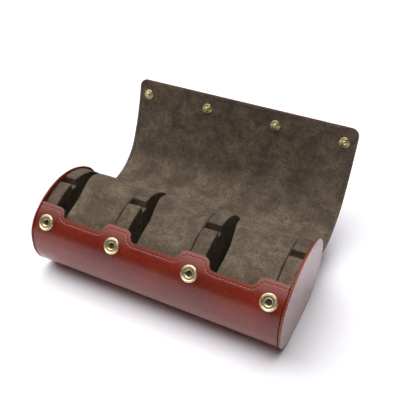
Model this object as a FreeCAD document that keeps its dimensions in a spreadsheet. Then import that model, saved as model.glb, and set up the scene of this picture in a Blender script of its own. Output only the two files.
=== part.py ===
"""Travel case for three watches: a curved leather roll box with a lid that grows out of its back wall.

Lengths are millimetres. X runs along the case, Y from its front to its back, Z up. The origin is on the
surface that the case stands on, under the middle of its body. The lid is modelled wide open.
"""
import FreeCAD
import Part

import math
import os

import Sketcher

Vector = FreeCAD.Vector
AXIS_X = Vector(1, 0, 0)
QUARTER = math.pi / 2
RIGHT_ANGLE = math.degrees(QUARTER)

# Driving sizes: millimetres, and degrees where the name ends in angle
SIZES = {
    # Section of the body
    "flat_half": 14.0, "floor_radius": 29.0, "belt": 4.2, "shoulder_radius": 26.0, "crown_rise": 32.2,
    # Wall of leather, board and suede between the two end caps
    "leather": 1.0, "board": 1.0, "suede": 0.5, "hinge_drop": 4.5,
    # Front edge: how far its tongues and dips lean forward of the top, and its snaps on the shoulder
    "tongue_angle": 28.7, "dip_angle": 37.3, "snap_angle": 49.2,
    "tongue_flat": 6.0, "flank_width": 9.7, "flank_round": 5.4,
    # End caps
    "cap_board": 1.0, "cap_leather": 1.0, "cap_round": 0.8,
    # Dividers and the three bays between them
    "end_bay": 51.8, "middle_bay": 50.4, "divider": 11.2, "end_divider": 10.1, "divider_recess": 1.4,
    "divider_setback": 1.4, "wrap": 0.8, "notch_width": 6.6, "notch_depth": 6.0,
    # Cushions
    "strap_gap": 9.9, "cushion_clear": 0.3, "cushion_cover": 0.9, "cushion_drop": 1.6,
    "cushion_draw": 2.4, "cushion_way_angle": 35.0, "cushion_swell": 0.8,
    # Lid, measured along its outer leather from the hinge line
    "lid_drop_angle": 29.0, "lid_length": 126.0, "lid_curl": 44.0, "lid_curl_length": 70.0, "lid_sweep": 190.0,
    "root_length": 20.0, "front_length": 26.0, "flex_gap": 0.8, "hinge_gap": 0.3, "lid_clear": 0.3,
    "lid_leather": 1.0, "lid_board": 0.5, "lid_suede": 0.7, "lid_corner": 6.5, "stud_setback": 12.4,
    # Snap sockets on the front wall
    "socket_radius": 6.1, "socket_proud": 1.15, "socket_dish": 0.4, "dish_radius": 4.9,
    "mouth_radius": 2.5, "lip": 0.4, "barrel_radius": 3.5, "barrel_wall": 0.4,
    "spring_wire": 0.6, "spring_opening_angle": 40.0, "eyelet_radius": 4.6, "eyelet_hole": 2.0,
    "eyelet": 0.5,
    # Snap studs and their outer caps on the lid
    "stud_flange_radius": 4.2, "stud_flange": 0.7, "stud_stem": 1.4, "stud_ball": 1.8, "stud_height": 3.2,
    "snap_cap_radius": 6.2, "snap_cap": 1.6, "snap_cap_round": 1.1,
}
OVERRUN_SHARE = 2.0  # how far a cutting shape reaches past what it cuts, in shares of that piece's size

document = FreeCAD.newDocument("WatchTravelCase")
sheet = document.addObject("Spreadsheet::Sheet", "Sizes")
for row, (alias, value) in enumerate(SIZES.items(), start=1):
    sheet.set(f"A{row}", str(value))
    sheet.setAlias(f"A{row}", alias)
document.recompute()


# Expressions for what follows from the driving sizes
def cell(alias):
    """Names one size of the sheet in an expression."""
    return f"Sizes.{alias}"


def value(expression):
    """Works out an expression of the sheet's sizes as a plain number."""
    result = sheet.evalExpression(expression)
    return float(getattr(result, "Value", result))


WALL = f"({cell('leather')} + {cell('board')} + {cell('suede')})"
SKIN = f"({cell('leather')} + {cell('board')})"
HALF_WIDTH = f"({cell('flat_half')} + {cell('floor_radius')})"
BELT_Z = f"({cell('floor_radius')} + {cell('belt')})"
HINGE_Z = f"({cell('floor_radius')} - {cell('hinge_drop')})"
HEIGHT = f"({BELT_Z} + {cell('crown_rise')})"
SHOULDER_Y = f"({HALF_WIDTH} - {cell('shoulder_radius')})"
CROWN_RADIUS = (
    f"(({SHOULDER_Y}^2 + {cell('crown_rise')}^2 - {cell('shoulder_radius')}^2)"
    f" / (2 * ({cell('crown_rise')} - {cell('shoulder_radius')})))"
)
CROWN_Z = f"({HEIGHT} - {CROWN_RADIUS})"
MIDDLE_FACE = f"({cell('middle_bay')} / 2)"
DIVIDER_OFFSET = f"({MIDDLE_FACE} + {cell('divider')} / 2)"
END_FACE = f"({MIDDLE_FACE} + {cell('divider')} + {cell('end_bay')})"
HALF_SPAN = f"({END_FACE} + {cell('end_divider')})"
WALL_SPAN = f"(2 * {HALF_SPAN})"
HINGE_Y = f"({cell('flat_half')} + sqrt({cell('floor_radius')}^2 - {cell('hinge_drop')}^2))"
CUSHION_WIDTH = f"({cell('middle_bay')} - {cell('strap_gap')})"
LID_HALF = f"({HALF_SPAN} - {cell('lid_clear')})"
EYELET_SEAT = (
    f"({cell('shoulder_radius')}"
    f" - sqrt(({cell('shoulder_radius')} - {cell('leather')})^2 - {cell('eyelet_radius')}^2))"
)
LID_WALL = f"({cell('lid_leather')} + {cell('lid_board')} + {cell('lid_suede')})"
LID_SKIN = f"({cell('lid_leather')} + {cell('lid_board')})"
LID_INSIDE = f"({cell('lid_sweep')} - {LID_WALL})"
STUD_SEAT = f"({LID_INSIDE} - sqrt({LID_INSIDE}^2 - {cell('stud_flange_radius')}^2))"
SNAP_PLACES = (f"-{END_FACE}", f"-{DIVIDER_OFFSET}", DIVIDER_OFFSET, END_FACE)


# Small helpers for bodies, sketches and their bound sizes
def bind(thing, name, expression):
    """Binds one property of a document object to an expression."""
    thing.setExpression(name, expression)


def new_body(label):
    """Starts an empty body under its own label."""
    body = document.addObject("PartDesign::Body", label)
    body.Label = label
    return body


def sketch_on(body, plane, name, offset=("0", "0", "0"), tilt=None):
    """Adds a sketch on an origin plane, set off by an expression for each axis and tilted about X."""
    support = next(f for f in body.Origin.OriginFeatures if f.Role == plane)
    sketch = body.newObject("Sketcher::SketchObject", f"{body.Name}_{name}")
    sketch.AttachmentSupport = [(support, "")]
    sketch.MapMode = "FlatFace"
    if tilt:
        sketch.AttachmentOffset = FreeCAD.Placement(Vector(), FreeCAD.Rotation(AXIS_X, value(tilt)))
        bind(sketch, "AttachmentOffset.Rotation.Angle", f"({tilt}) * 1 deg")
    for axis, expression in zip("xyz", offset):
        if expression != "0":
            bind(sketch, f"AttachmentOffset.Base.{axis}", expression)
    return sketch


def hold(sketch, kind, *picked, expression):
    """Adds a constraint that holds an expression's value."""
    index = sketch.addConstraint(Sketcher.Constraint(kind, *picked, value(expression)))
    bind(sketch, f"Constraints[{index}]", expression)


def hold_point(sketch, edge, end, y, z):
    """Holds a point of the sketch at two expressions, measured from the sketch's origin."""
    for kind, axis, expression in (("DistanceX", -2, y), ("DistanceY", -1, z)):
        if expression == "0":
            sketch.addConstraint(Sketcher.Constraint("PointOnObject", edge, end, axis))
        else:
            hold(sketch, kind, -1, 1, edge, end, expression=expression)


def add_polygon(sketch, corners):
    """Draws a closed polygon whose corners are pairs of expressions."""
    points = [Vector(value(y), value(z), 0) for y, z in corners]
    lines = [Part.LineSegment(a, b) for a, b in zip(points, points[1:] + points[:1])]
    edges = sketch.addGeometry(lines, False)
    for edge, following in zip(edges, edges[1:] + edges[:1]):
        sketch.addConstraint(Sketcher.Constraint("Coincident", edge, 2, following, 1))
    for edge, (y, z) in zip(edges, corners):
        hold_point(sketch, edge, 1, y, z)
    return edges


def arc(y, z, radius, start, end):
    """Makes an arc of a circle for a sketch, its angles in radians."""
    return Part.ArcOfCircle(Part.Circle(Vector(y, z, 0), Vector(0, 0, 1), radius), start, end)


def add_outline(sketch, inset="0"):
    """Draws the closed section of the body, set in by an expression, from arcs that share their centres."""
    inside = value(inset)
    flat, floor_z = value(cell("flat_half")), value(cell("floor_radius"))
    belt, shoulder = value(BELT_Z), value(SHOULDER_Y)
    crown_z, crown = value(CROWN_Z), value(CROWN_RADIUS) - inside
    floor_r, shoulder_r = floor_z - inside, value(cell("shoulder_radius")) - inside
    side = value(HALF_WIDTH) - inside
    meet = math.atan2(belt - crown_z, shoulder)
    edges = sketch.addGeometry([
        Part.LineSegment(Vector(-flat, inside, 0), Vector(flat, inside, 0)),
        arc(flat, floor_z, floor_r, -QUARTER, 0),
        Part.LineSegment(Vector(side, floor_z, 0), Vector(side, belt, 0)),
        arc(shoulder, belt, shoulder_r, 0, meet),
        arc(0, crown_z, crown, meet, math.pi - meet),
        arc(-shoulder, belt, shoulder_r, math.pi - meet, math.pi),
        Part.LineSegment(Vector(-side, belt, 0), Vector(-side, floor_z, 0)),
        arc(-flat, floor_z, floor_r, math.pi, math.pi + QUARTER),
    ], False)
    for edge, following in zip(edges, edges[1:] + edges[:1]):
        sketch.addConstraint(Sketcher.Constraint("Tangent", edge, 2, following, 1))
    for edge, sign in ((edges[1], ""), (edges[7], "-")):
        hold_point(sketch, edge, 3, sign + cell("flat_half"), cell("floor_radius"))
        hold(sketch, "Radius", edge, expression=f"{cell('floor_radius')} - ({inset})")
    for edge, sign in ((edges[3], ""), (edges[5], "-")):
        hold_point(sketch, edge, 3, sign + SHOULDER_Y, BELT_Z)
    hold(sketch, "Radius", edges[3], expression=f"{cell('shoulder_radius')} - ({inset})")
    sketch.addConstraint(Sketcher.Constraint("PointOnObject", edges[4], 3, -2))
    hold(sketch, "DistanceY", -1, 1, edges[4], 3, expression=CROWN_Z)


def pad(body, sketch, length, both_ways=False, backwards=False):
    """Pads a sketch by an expression."""
    feature = body.newObject("PartDesign::Pad", f"{sketch.Name}_pad")
    feature.Profile = sketch
    feature.SideType = "Symmetric" if both_ways else "One side"
    feature.Reversed = backwards
    bind(feature, "Length", length)
    return feature


def pocket(body, sketch, length):
    """Cuts a sketch away on both sides of its plane, and makes sure that something went."""
    document.recompute()
    before = body.Shape.Volume
    feature = body.newObject("PartDesign::Pocket", f"{sketch.Name}_pocket")
    feature.Profile = sketch
    feature.SideType = "Symmetric"
    bind(feature, "Length", length)
    document.recompute()
    if body.Shape.Volume >= before:
        raise RuntimeError(f"{sketch.Name} cuts nothing away")
    return feature


def add_fillet(body, edge_names, radius):
    """Rounds named edges of a body's last feature."""
    base = body.Tip
    fillet = body.newObject("PartDesign::Fillet", f"{body.Name}_fillet")
    fillet.Base = (base, edge_names)
    bind(fillet, "Radius", radius)
    document.recompute()


def boolean(kind, label, base, tool):
    """Joins two shapes with a cut or a common that stays live in the document."""
    feature = document.addObject(f"Part::{kind}", label)
    feature.Label = label
    feature.Base = base
    feature.Tool = tool
    return feature


def group(label, members):
    """Keeps identical separate pieces together under one name."""
    compound = document.addObject("Part::Compound", label)
    compound.Label = label
    compound.Links = members
    return compound


def place(thing, x, y, z, turn=None):
    """Puts a finished sub-part at three expressions, turned about X by a fourth."""
    if turn:
        thing.Placement = FreeCAD.Placement(Vector(), FreeCAD.Rotation(AXIS_X, value(turn)))
        bind(thing, "Placement.Rotation.Angle", f"({turn}) * 1 deg")
    for axis, expression in zip("xyz", (x, y, z)):
        bind(thing, f"Placement.Base.{axis}", expression)


def crown_point(lean, inset="0"):
    """Gives the Y and Z expressions of a point of the crown that leans forward of the top by an angle."""
    reach = f"({CROWN_RADIUS} - ({inset}))"
    return f"-{reach} * sin({lean} * 1 deg)", f"{CROWN_Z} + {reach} * cos({lean} * 1 deg)"


def shoulder_point(lean, inset="0"):
    """Gives the Y and Z expressions of a point of the front shoulder whose radius leans forward by an angle."""
    reach = f"({cell('shoulder_radius')} - ({inset}))"
    return f"-{SHOULDER_Y} - {reach} * sin({lean} * 1 deg)", f"{BELT_Z} + {reach} * cos({lean} * 1 deg)"


def front_plane(body, name, lean, point):
    """Adds a sketch that lies on the front wall at a point of it: X along the case, Y up the leather."""
    return sketch_on(body, "XY_Plane", name, ("0", *point), tilt=lean)


# Body wall
def cut_opening(body):
    """Takes the wall away from the hinge line over the top to the tips of the front tongues."""
    sketch = sketch_on(body, "YZ_Plane", "opening")
    far_y, far_z = crown_point(cell("tongue_angle"), f"-{CROWN_RADIUS}")
    behind = f"{OVERRUN_SHARE} * {HALF_WIDTH}"
    add_polygon(sketch, [
        ("0", HINGE_Z), (behind, HINGE_Z), (behind, far_z),
        (far_y, far_z), ("0", CROWN_Z),
    ])
    pocket(body, sketch, f"{OVERRUN_SHARE} * {WALL_SPAN}")


def add_dip(sketch, left, right, low, high):
    """Draws one dip of the front edge between the middles of two tongues."""
    start = f"({left} + {cell('tongue_flat')})"
    end = f"({right} - {cell('tongue_flat')})"
    over = f"({high} + {cell('flank_round')})"
    x0, x1, z0, z1, top = (value(e) for e in (start, end, low, high, over))
    flank, outer = value(cell("flank_width")), value(cell("flank_round"))
    inner = (flank ** 2 + (z1 - z0) ** 2) / (2 * (z1 - z0)) - outer
    swing = math.asin(flank / (outer + inner))
    floor, rise_right, round_right, up, across, down, round_left, rise_left = sketch.addGeometry([
        Part.LineSegment(Vector(x0 + flank, z0, 0), Vector(x1 - flank, z0, 0)),
        arc(x1 - flank, z0 + inner, inner, -QUARTER, swing - QUARTER),
        arc(x1, z1 - outer, outer, QUARTER, QUARTER + swing),
        Part.LineSegment(Vector(x1, z1, 0), Vector(x1, top, 0)),
        Part.LineSegment(Vector(x1, top, 0), Vector(x0, top, 0)),
        Part.LineSegment(Vector(x0, top, 0), Vector(x0, z1, 0)),
        arc(x0, z1 - outer, outer, QUARTER - swing, QUARTER),
        arc(x0 + flank, z0 + inner, inner, -QUARTER - swing, -QUARTER),
    ], False)
    for kind, *ends in (
        ("Tangent", floor, 2, rise_right, 1), ("Tangent", rise_right, 2, round_right, 2),
        ("Coincident", round_right, 1, up, 1), ("Coincident", up, 2, across, 1),
        ("Coincident", across, 2, down, 1), ("Coincident", down, 2, round_left, 2),
        ("Tangent", round_left, 1, rise_left, 1), ("Tangent", rise_left, 2, floor, 1),
    ):
        sketch.addConstraint(Sketcher.Constraint(kind, *ends))
    for kind, edge in (("Vertical", up), ("Vertical", down), ("Horizontal", across), ("Horizontal", floor)):
        sketch.addConstraint(Sketcher.Constraint(kind, edge))
    hold_point(sketch, floor, 1, f"({start} + {cell('flank_width')})", low)
    hold(sketch, "DistanceX", -1, 1, floor, 2, expression=f"({end} - {cell('flank_width')})")
    hold(sketch, "DistanceY", -1, 1, across, 1, expression=over)
    for edge, tip, x in ((round_right, 1, end), (round_left, 2, start)):
        hold_point(sketch, edge, tip, x, high)
        hold(sketch, "DistanceX", -1, 1, edge, 3, expression=x)
        hold(sketch, "Radius", edge, expression=cell("flank_round"))


def cut_dips(body):
    """Cuts the three dips out of the front edge, between the four tongues that carry the snaps."""
    middle = f"(({cell('tongue_angle')} + {cell('dip_angle')}) / 2)"
    half = f"(({cell('dip_angle')} - {cell('tongue_angle')}) / 2)"
    sketch = front_plane(body, "dips", middle, crown_point(middle))
    high = f"{CROWN_RADIUS} * sin({half} * 1 deg)"
    for left, right in zip(SNAP_PLACES, SNAP_PLACES[1:]):
        add_dip(sketch, left, right, f"-{high}", high)
    pocket(body, sketch, f"4 * {OVERRUN_SHARE} * {WALL}")


def cut_snap_holes(body, radius):
    """Pierces the front wall where the snap sockets go through."""
    lean = cell("snap_angle")
    sketch = front_plane(body, "snap_holes", lean, shoulder_point(lean))
    add_snap_circles(sketch, radius)
    pocket(body, sketch, f"2 * {OVERRUN_SHARE} * {WALL}")


def add_snap_circles(sketch, radius):
    """Draws one circle at each snap place."""
    for x in SNAP_PLACES:
        circle = Part.Circle(Vector(value(x), 0, 0), Vector(0, 0, 1), value(radius))
        edge = sketch.addGeometry(circle, False)
        hold_point(sketch, edge, 3, x, "0")
        hold(sketch, "Radius", edge, expression=radius)


def wall_layer(label, inset, depth):
    """Rolls one layer of the wall round the section, open over the top."""
    body = new_body(label)
    sketch = sketch_on(body, "YZ_Plane", "ring")
    add_outline(sketch, inset)
    add_outline(sketch, depth)
    pad(body, sketch, WALL_SPAN, both_ways=True)
    cut_opening(body)
    return body


def make_wall():
    """Makes the leather, its board and the suede lining of the body."""
    layers = (
        ("body_leather", "0", cell("leather"), cell("barrel_radius")),
        ("body_board", cell("leather"), SKIN, cell("eyelet_radius")),
        ("body_lining", SKIN, WALL, None),
    )
    bodies = []
    for label, inset, depth, hole in layers:
        body = wall_layer(label, inset, depth)
        cut_dips(body)
        if hole:
            cut_snap_holes(body, hole)
        bodies.append(body)
    return bodies


# End caps
def cap_layer(label, side, start, length, outer, inner=None):
    """Pads one layer of an end cap outwards, as a plate or as a ring."""
    body = new_body(label)
    sign = "" if side > 0 else "-"
    sketch = sketch_on(body, "YZ_Plane", "plate", ("0", "0", f"{sign}({start})"))
    add_outline(sketch, outer)
    if inner:
        add_outline(sketch, inner)
    pad(body, sketch, length, backwards=side < 0)
    return body


def round_rim(body, side):
    """Rounds the outer edge of a cap's leather face."""
    document.recompute()
    far = max(side * v.X for v in body.Shape.Vertexes)
    names = [
        f"Edge{i}" for i, edge in enumerate(body.Shape.Edges, start=1)
        if all(side * v.X > far - value(cell("cap_round")) / 2 for v in edge.Vertexes)
    ]
    add_fillet(body, names, cell("cap_round"))


def make_caps():
    """Makes the board, the stitched band round it and the leather face of both end caps."""
    bodies = []
    outside = f"{HALF_SPAN} + {cell('cap_board')}"
    for name, side in (("left", -1), ("right", 1)):
        bodies.append(cap_layer(f"{name}_cap_board", side, HALF_SPAN, cell("cap_board"), cell("leather")))
        bodies.append(cap_layer(f"{name}_cap_band", side, HALF_SPAN, cell("cap_board"), "0", cell("leather")))
        face = cap_layer(f"{name}_cap_face", side, outside, cell("cap_leather"), "0")
        round_rim(face, side)
        bodies.append(face)
    return bodies


# Dividers
def divider_slab(label, middle, thickness, inset):
    """Makes an upright slab of the body's section, set back from the front, with the strap notch in its top."""
    body = new_body(label)
    sketch = sketch_on(body, "YZ_Plane", "slab", (f"-{cell('divider_setback')}", "0", middle))
    add_outline(sketch, f"{cell('divider_recess')} + {inset}")
    pad(body, sketch, thickness, both_ways=True)
    notch = sketch_on(body, "YZ_Plane", "notch", ("0", "0", middle))
    side = f"({cell('notch_width')} / 2 + {inset})"
    low = f"({HEIGHT} - {cell('divider_recess')} - {cell('notch_depth')} - {inset})"
    add_polygon(notch, [(f"-{side}", low), (side, low), (side, HEIGHT), (f"-{side}", HEIGHT)])
    pocket(body, notch, f"{OVERRUN_SHARE} * {thickness}")
    return body


def make_dividers(wall_blank):
    """Makes a board core and a suede cover for each of the four dividers, cut to the wall that holds them."""
    end_middle = f"({HALF_SPAN} - {cell('end_divider')} / 2)"
    rows = (
        (f"-{end_middle}", cell("end_divider")),
        (f"-{DIVIDER_OFFSET}", cell("divider")),
        (DIVIDER_OFFSET, cell("divider")),
        (end_middle, cell("end_divider")),
    )
    pieces = []
    for number, (middle, thickness) in enumerate(rows, start=1):
        core_slab = divider_slab(
            f"divider_{number}_core_slab", middle, f"({thickness} - 2 * {cell('wrap')})", cell("wrap"))
        core = boolean("Cut", f"divider_{number}_core", core_slab, wall_blank)
        slab = divider_slab(f"divider_{number}_slab", middle, thickness, "0")
        seated = boolean("Cut", f"divider_{number}_seated", slab, wall_blank)
        pieces += [core, boolean("Cut", f"divider_{number}_cover", seated, core)]
    return pieces


# Cushions
STATION_SHARES = (0.0, 0.02, 0.06, 0.14, 0.3, 0.5, 0.7, 0.86, 0.94, 0.98, 1.0)  # along the width
DRAW_SHARES = (1.0, 0.5, 0.22, 0.07, 0.0, 0.0, 0.0, 0.07, 0.22, 0.5, 1.0)  # of the pull in at the ends
BULGE_SHARES = (0.0, 0.1, 0.25, 0.5, 0.85, 1.0, 0.85, 0.5, 0.25, 0.1, 0.0)  # of the crown's swell
CROWN_FRONT_LEAN = 26.0  # where the crown leaves the front, in degrees forward of the top
CROWN_BACK_LEAN = 38.0  # and where it meets the back shoulder
CROWN_PEAK_LEAN = -6.0


def crown_place(lean, inset):
    """Works out a point of the crown by its lean from the top, set in by a length."""
    reach = value(CROWN_RADIUS) - inset
    turn = math.radians(lean)
    return Vector(0, -reach * math.sin(turn), value(CROWN_Z) + reach * math.cos(turn))


def circle_place(y, z, radius, degrees):
    """Works out a point of a circle in the section."""
    turn = math.radians(degrees)
    return Vector(0, y + radius * math.cos(turn), z + radius * math.sin(turn))


def cushion_section(x, inset, swell):
    """Makes the closed section of a cushion at one station, cut back below along the way it comes out."""
    wall = value(WALL) + value(cell("cushion_clear")) + inset
    flat, floor_z, belt = (value(e) for e in (cell("flat_half"), cell("floor_radius"), BELT_Z))
    shoulder_y, shoulder_r = value(SHOULDER_Y), value(cell("shoulder_radius")) - wall
    floor_r, side = floor_z - wall, value(HALF_WIDTH) - wall
    meet = math.degrees(math.atan2(belt - value(CROWN_Z), shoulder_y))
    slope = math.radians(value(cell("cushion_way_angle")))
    edge_z = value(HINGE_Z)
    edge_y = value(HINGE_Y) - wall - value(cell("cushion_clear")) / 2 - inset * math.tan(slope)
    start_y = edge_y - (edge_z - wall) / math.tan(slope)
    corner = Vector(0, flat + math.sqrt(floor_r ** 2 - (floor_z - edge_z) ** 2), edge_z)
    corner.z = max(corner.z, edge_z + (corner.y - edge_y) * math.tan(slope))
    corner.y = flat + math.sqrt(floor_r ** 2 - (floor_z - corner.z) ** 2)
    back_low = (math.degrees(math.asin((corner.z - floor_z) / floor_r))) / 2
    front, back = crown_place(CROWN_FRONT_LEAN, wall), crown_place(-CROWN_BACK_LEAN, wall)
    peak = crown_place(CROWN_PEAK_LEAN, value(cell("cushion_drop")) + inset + swell)
    runs = [
        Part.LineSegment(Vector(0, -flat, wall), Vector(0, start_y, wall)),
        Part.LineSegment(Vector(0, start_y, wall), corner),
        Part.Arc(corner, circle_place(flat, floor_z, floor_r, back_low), Vector(0, side, floor_z)),
        Part.LineSegment(Vector(0, side, floor_z), Vector(0, side, belt)),
        Part.Arc(
            Vector(0, side, belt), circle_place(shoulder_y, belt, shoulder_r, meet / 2),
            circle_place(shoulder_y, belt, shoulder_r, meet)),
        Part.Arc(
            circle_place(shoulder_y, belt, shoulder_r, meet),
            crown_place((meet - RIGHT_ANGLE - CROWN_BACK_LEAN) / 2, wall), back),
        Part.Arc(back, peak, front),
        Part.Arc(
            front, crown_place((RIGHT_ANGLE - meet + CROWN_FRONT_LEAN) / 2, wall),
            circle_place(-shoulder_y, belt, shoulder_r, 180 - meet)),
        Part.Arc(
            circle_place(-shoulder_y, belt, shoulder_r, 180 - meet),
            circle_place(-shoulder_y, belt, shoulder_r, 180 - meet / 2), Vector(0, -side, belt)),
        Part.LineSegment(Vector(0, -side, belt), Vector(0, -side, floor_z)),
        Part.Arc(
            Vector(0, -side, floor_z), circle_place(-flat, floor_z, floor_r, 225), Vector(0, -flat, wall)),
    ]
    wire = Part.Wire([run.toShape() for run in runs])
    wire.translate(Vector(x, 0, 0))
    return wire


def cushion_solid(label, width, inset):
    """Lofts one cushion through its stations, drawn in at both ends and swelling in the middle."""
    sections = [
        cushion_section(
            (station - 0.5) * width,
            inset + draw * value(cell("cushion_draw")),
            (1 - bulge) * value(cell("cushion_swell")))
        for station, draw, bulge in zip(STATION_SHARES, DRAW_SHARES, BULGE_SHARES)
    ]
    feature = document.addObject("Part::Feature", label)
    feature.Label = label
    feature.Shape = Part.makeLoft(sections, True, True)
    return feature


def make_cushions():
    """Makes a foam and its cover for the three cushions, each pushed against the divider on its right."""
    back_off = f"({cell('cushion_clear')} + {CUSHION_WIDTH} / 2)"
    rows = (
        ("left", f"-({MIDDLE_FACE} + {cell('divider')}) - {back_off}"),
        ("middle", f"{MIDDLE_FACE} - {back_off}"),
        ("right", f"{END_FACE} - {back_off}"),
    )
    pieces = []
    width, cover = value(CUSHION_WIDTH), value(cell("cushion_cover"))
    for name, x in rows:
        foam = cushion_solid(f"{name}_cushion_foam", width - 2 * cover, cover)
        block = cushion_solid(f"{name}_cushion_block", width, 0.0)
        shell = boolean("Cut", f"{name}_cushion_cover", block, foam)
        for piece in (foam, block):
            place(piece, x, "0", "0")
        pieces += [foam, shell]
    return pieces


# Lid, rolled from strips whose places are lengths along the outer leather
CURL_TURN = f"({cell('lid_curl_length')} / {cell('lid_curl')} * 180 / pi)"
CURL_START = f"(-{RIGHT_ANGLE} - {cell('lid_drop_angle')})"
CURL_Y = f"({HINGE_Y} + {cell('lid_curl')} * sin({cell('lid_drop_angle')} * 1 deg))"
CURL_Z = f"({HINGE_Z} + {cell('lid_curl')} * cos({cell('lid_drop_angle')} * 1 deg))"
CURL_END = f"({CURL_START} + {CURL_TURN})"
CURL_STEP = f"({cell('lid_curl')} - {cell('lid_sweep')})"
SWEEP_Y = f"({CURL_Y} + {CURL_STEP} * cos({CURL_END} * 1 deg))"
SWEEP_Z = f"({CURL_Z} + {CURL_STEP} * sin({CURL_END} * 1 deg))"
FRONT_CUT = f"({cell('lid_length')} - {cell('front_length')})"
HALF_GAP = f"({cell('flex_gap')} / 2)"
STUD_PLACE = f"({cell('lid_length')} - {cell('stud_setback')})"


def curl_angle(length):
    """Gives the turn of the radius at a length along the tight curl by the hinge."""
    return f"({CURL_START} + ({length}) / {cell('lid_curl')} * 180 / pi)"


def sweep_angle(length):
    """Gives the turn of the radius at a length along the flatter sweep towards the free edge."""
    return f"({CURL_END} + (({length}) - {cell('lid_curl_length')}) / {cell('lid_sweep')} * 180 / pi)"


def roll_strip(body, name, centre, radius, outer, inner, start, end):
    """Rolls one stretch of a lid layer about its centre, between two turns of the radius."""
    sketch = sketch_on(body, "XY_Plane", name, ("0", *centre), tilt=start)
    low, high = f"({radius} - ({inner}))", f"({radius} - ({outer}))"
    add_polygon(sketch, [
        (f"-{LID_HALF}", low), (LID_HALF, low), (LID_HALF, high), (f"-{LID_HALF}", high),
    ])
    feature = body.newObject("PartDesign::Revolution", f"{sketch.Name}_roll")
    feature.Profile = sketch
    feature.ReferenceAxis = (sketch, ["H_Axis"])
    bind(feature, "Angle", f"({end}) - ({start})")
    return feature


def round_corners(body):
    """Rounds the two free corners of a lid layer."""
    document.recompute()
    shape = body.Shape
    top = max(v.Z for v in shape.Vertexes)
    half = value(LID_HALF)
    near = value(cell("lid_corner"))
    names = [
        f"Edge{i}" for i, edge in enumerate(shape.Edges, start=1)
        if edge.Length < half and all(abs(v.X) > half - near / 2 and v.Z > top - near / 2 for v in edge.Vertexes)
    ]
    add_fillet(body, names, cell("lid_corner"))


def cut_stud_holes(body):
    """Pierces a layer of the lid's front where the snap studs are riveted through."""
    reach = cell("lid_sweep")
    turn = sweep_angle(STUD_PLACE)
    y = f"{SWEEP_Y} + {reach} * cos({turn} * 1 deg)"
    z = f"{SWEEP_Z} + {reach} * sin({turn} * 1 deg)"
    sketch = sketch_on(body, "XY_Plane", "stud_holes", ("0", y, z), tilt=f"{turn} + {RIGHT_ANGLE}")
    add_snap_circles(sketch, cell("stud_stem"))
    pocket(body, sketch, f"2 * {OVERRUN_SHARE} * {LID_WALL}")


def make_lid():
    """Makes the leather, board and suede of the lid's root, crown and front, with flex gaps between them."""
    layers = (
        ("leather", "0", cell("lid_leather")),
        ("board", cell("lid_leather"), LID_SKIN),
        ("lining", LID_SKIN, LID_WALL),
    )
    curl, sweep = (CURL_Y, CURL_Z), (SWEEP_Y, SWEEP_Z)
    bend = cell("lid_curl_length")
    bodies = []
    for layer, outer, inner in layers:
        root = new_body(f"lid_root_{layer}")
        roll_strip(
            root, "strip", curl, cell("lid_curl"), outer, inner,
            curl_angle(cell("hinge_gap")), curl_angle(f"{cell('root_length')} - {HALF_GAP}"))
        crown = new_body(f"lid_crown_{layer}")
        roll_strip(
            crown, "curl", curl, cell("lid_curl"), outer, inner,
            curl_angle(f"{cell('root_length')} + {HALF_GAP}"), curl_angle(bend))
        roll_strip(
            crown, "sweep", sweep, cell("lid_sweep"), outer, inner,
            sweep_angle(bend), sweep_angle(f"{FRONT_CUT} - {HALF_GAP}"))
        front = new_body(f"lid_front_{layer}")
        roll_strip(
            front, "strip", sweep, cell("lid_sweep"), outer, inner,
            sweep_angle(f"{FRONT_CUT} + {HALF_GAP}"), sweep_angle(cell("lid_length")))
        round_corners(front)
        cut_stud_holes(front)
        bodies += [root, crown, front]
    return bodies


# Snaps, turned about their own upright axis and then laid on the leather
def turned(label, profile):
    """Turns a closed profile of radius and height expressions about the upright axis."""
    body = new_body(label)
    sketch = sketch_on(body, "XZ_Plane", "profile")
    add_polygon(sketch, profile)
    feature = body.newObject("PartDesign::Revolution", f"{label}_turn")
    feature.Profile = sketch
    feature.ReferenceAxis = (sketch, ["V_Axis"])
    bind(feature, "Angle", "360")
    return body


def socket_profile():
    """Gives the outline of a snap socket: a dished ring outside, a barrel through the wall."""
    proud, dish = cell("socket_proud"), f"({cell('socket_proud')} - {cell('socket_dish')})"
    under, deep = f"({dish} - {cell('lip')})", f"-{EYELET_SEAT}"
    bore = f"({cell('barrel_radius')} - {cell('barrel_wall')})"
    edge = f"({proud} / 2)"
    rim = f"({cell('socket_radius')} - {edge})"
    return [
        (cell("mouth_radius"), under), (bore, under), (bore, deep), (cell("barrel_radius"), deep),
        (cell("barrel_radius"), "0"), (cell("socket_radius"), "0"), (cell("socket_radius"), edge),
        (rim, proud), (cell("dish_radius"), proud), (cell("dish_radius"), dish),
        (cell("mouth_radius"), dish),
    ]


def stud_profile():
    """Gives the outline of a snap stud: a flange on the suede, a stem through the lid and a ball."""
    flange, stem, ball = cell("stud_flange_radius"), cell("stud_stem"), cell("stud_ball")
    tip, top = cell("stud_height"), f"({STUD_SEAT} + {cell('stud_flange')})"
    waist = f"({tip} - {ball})"
    return [
        ("0", f"-{LID_WALL}"), (stem, f"-{LID_WALL}"), (stem, STUD_SEAT), (flange, STUD_SEAT),
        (flange, top), (stem, top), (stem, f"({waist} - {ball} / 4)"),
        (ball, f"({waist} + {ball} / 4)"), (ball, f"({tip} - {ball} / 2)"),
        (f"({ball} / 2)", tip), ("0", tip),
    ]


def snap_cap_profile():
    """Gives the outline of the domed cap outside the lid."""
    radius, height, rim = cell("snap_cap_radius"), cell("snap_cap"), cell("snap_cap_round")
    return [
        ("0", "0"), (radius, "0"), (radius, f"-({height} - {rim})"),
        (f"({radius} - {rim})", f"-{height}"), ("0", f"-{height}"),
    ]


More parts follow.
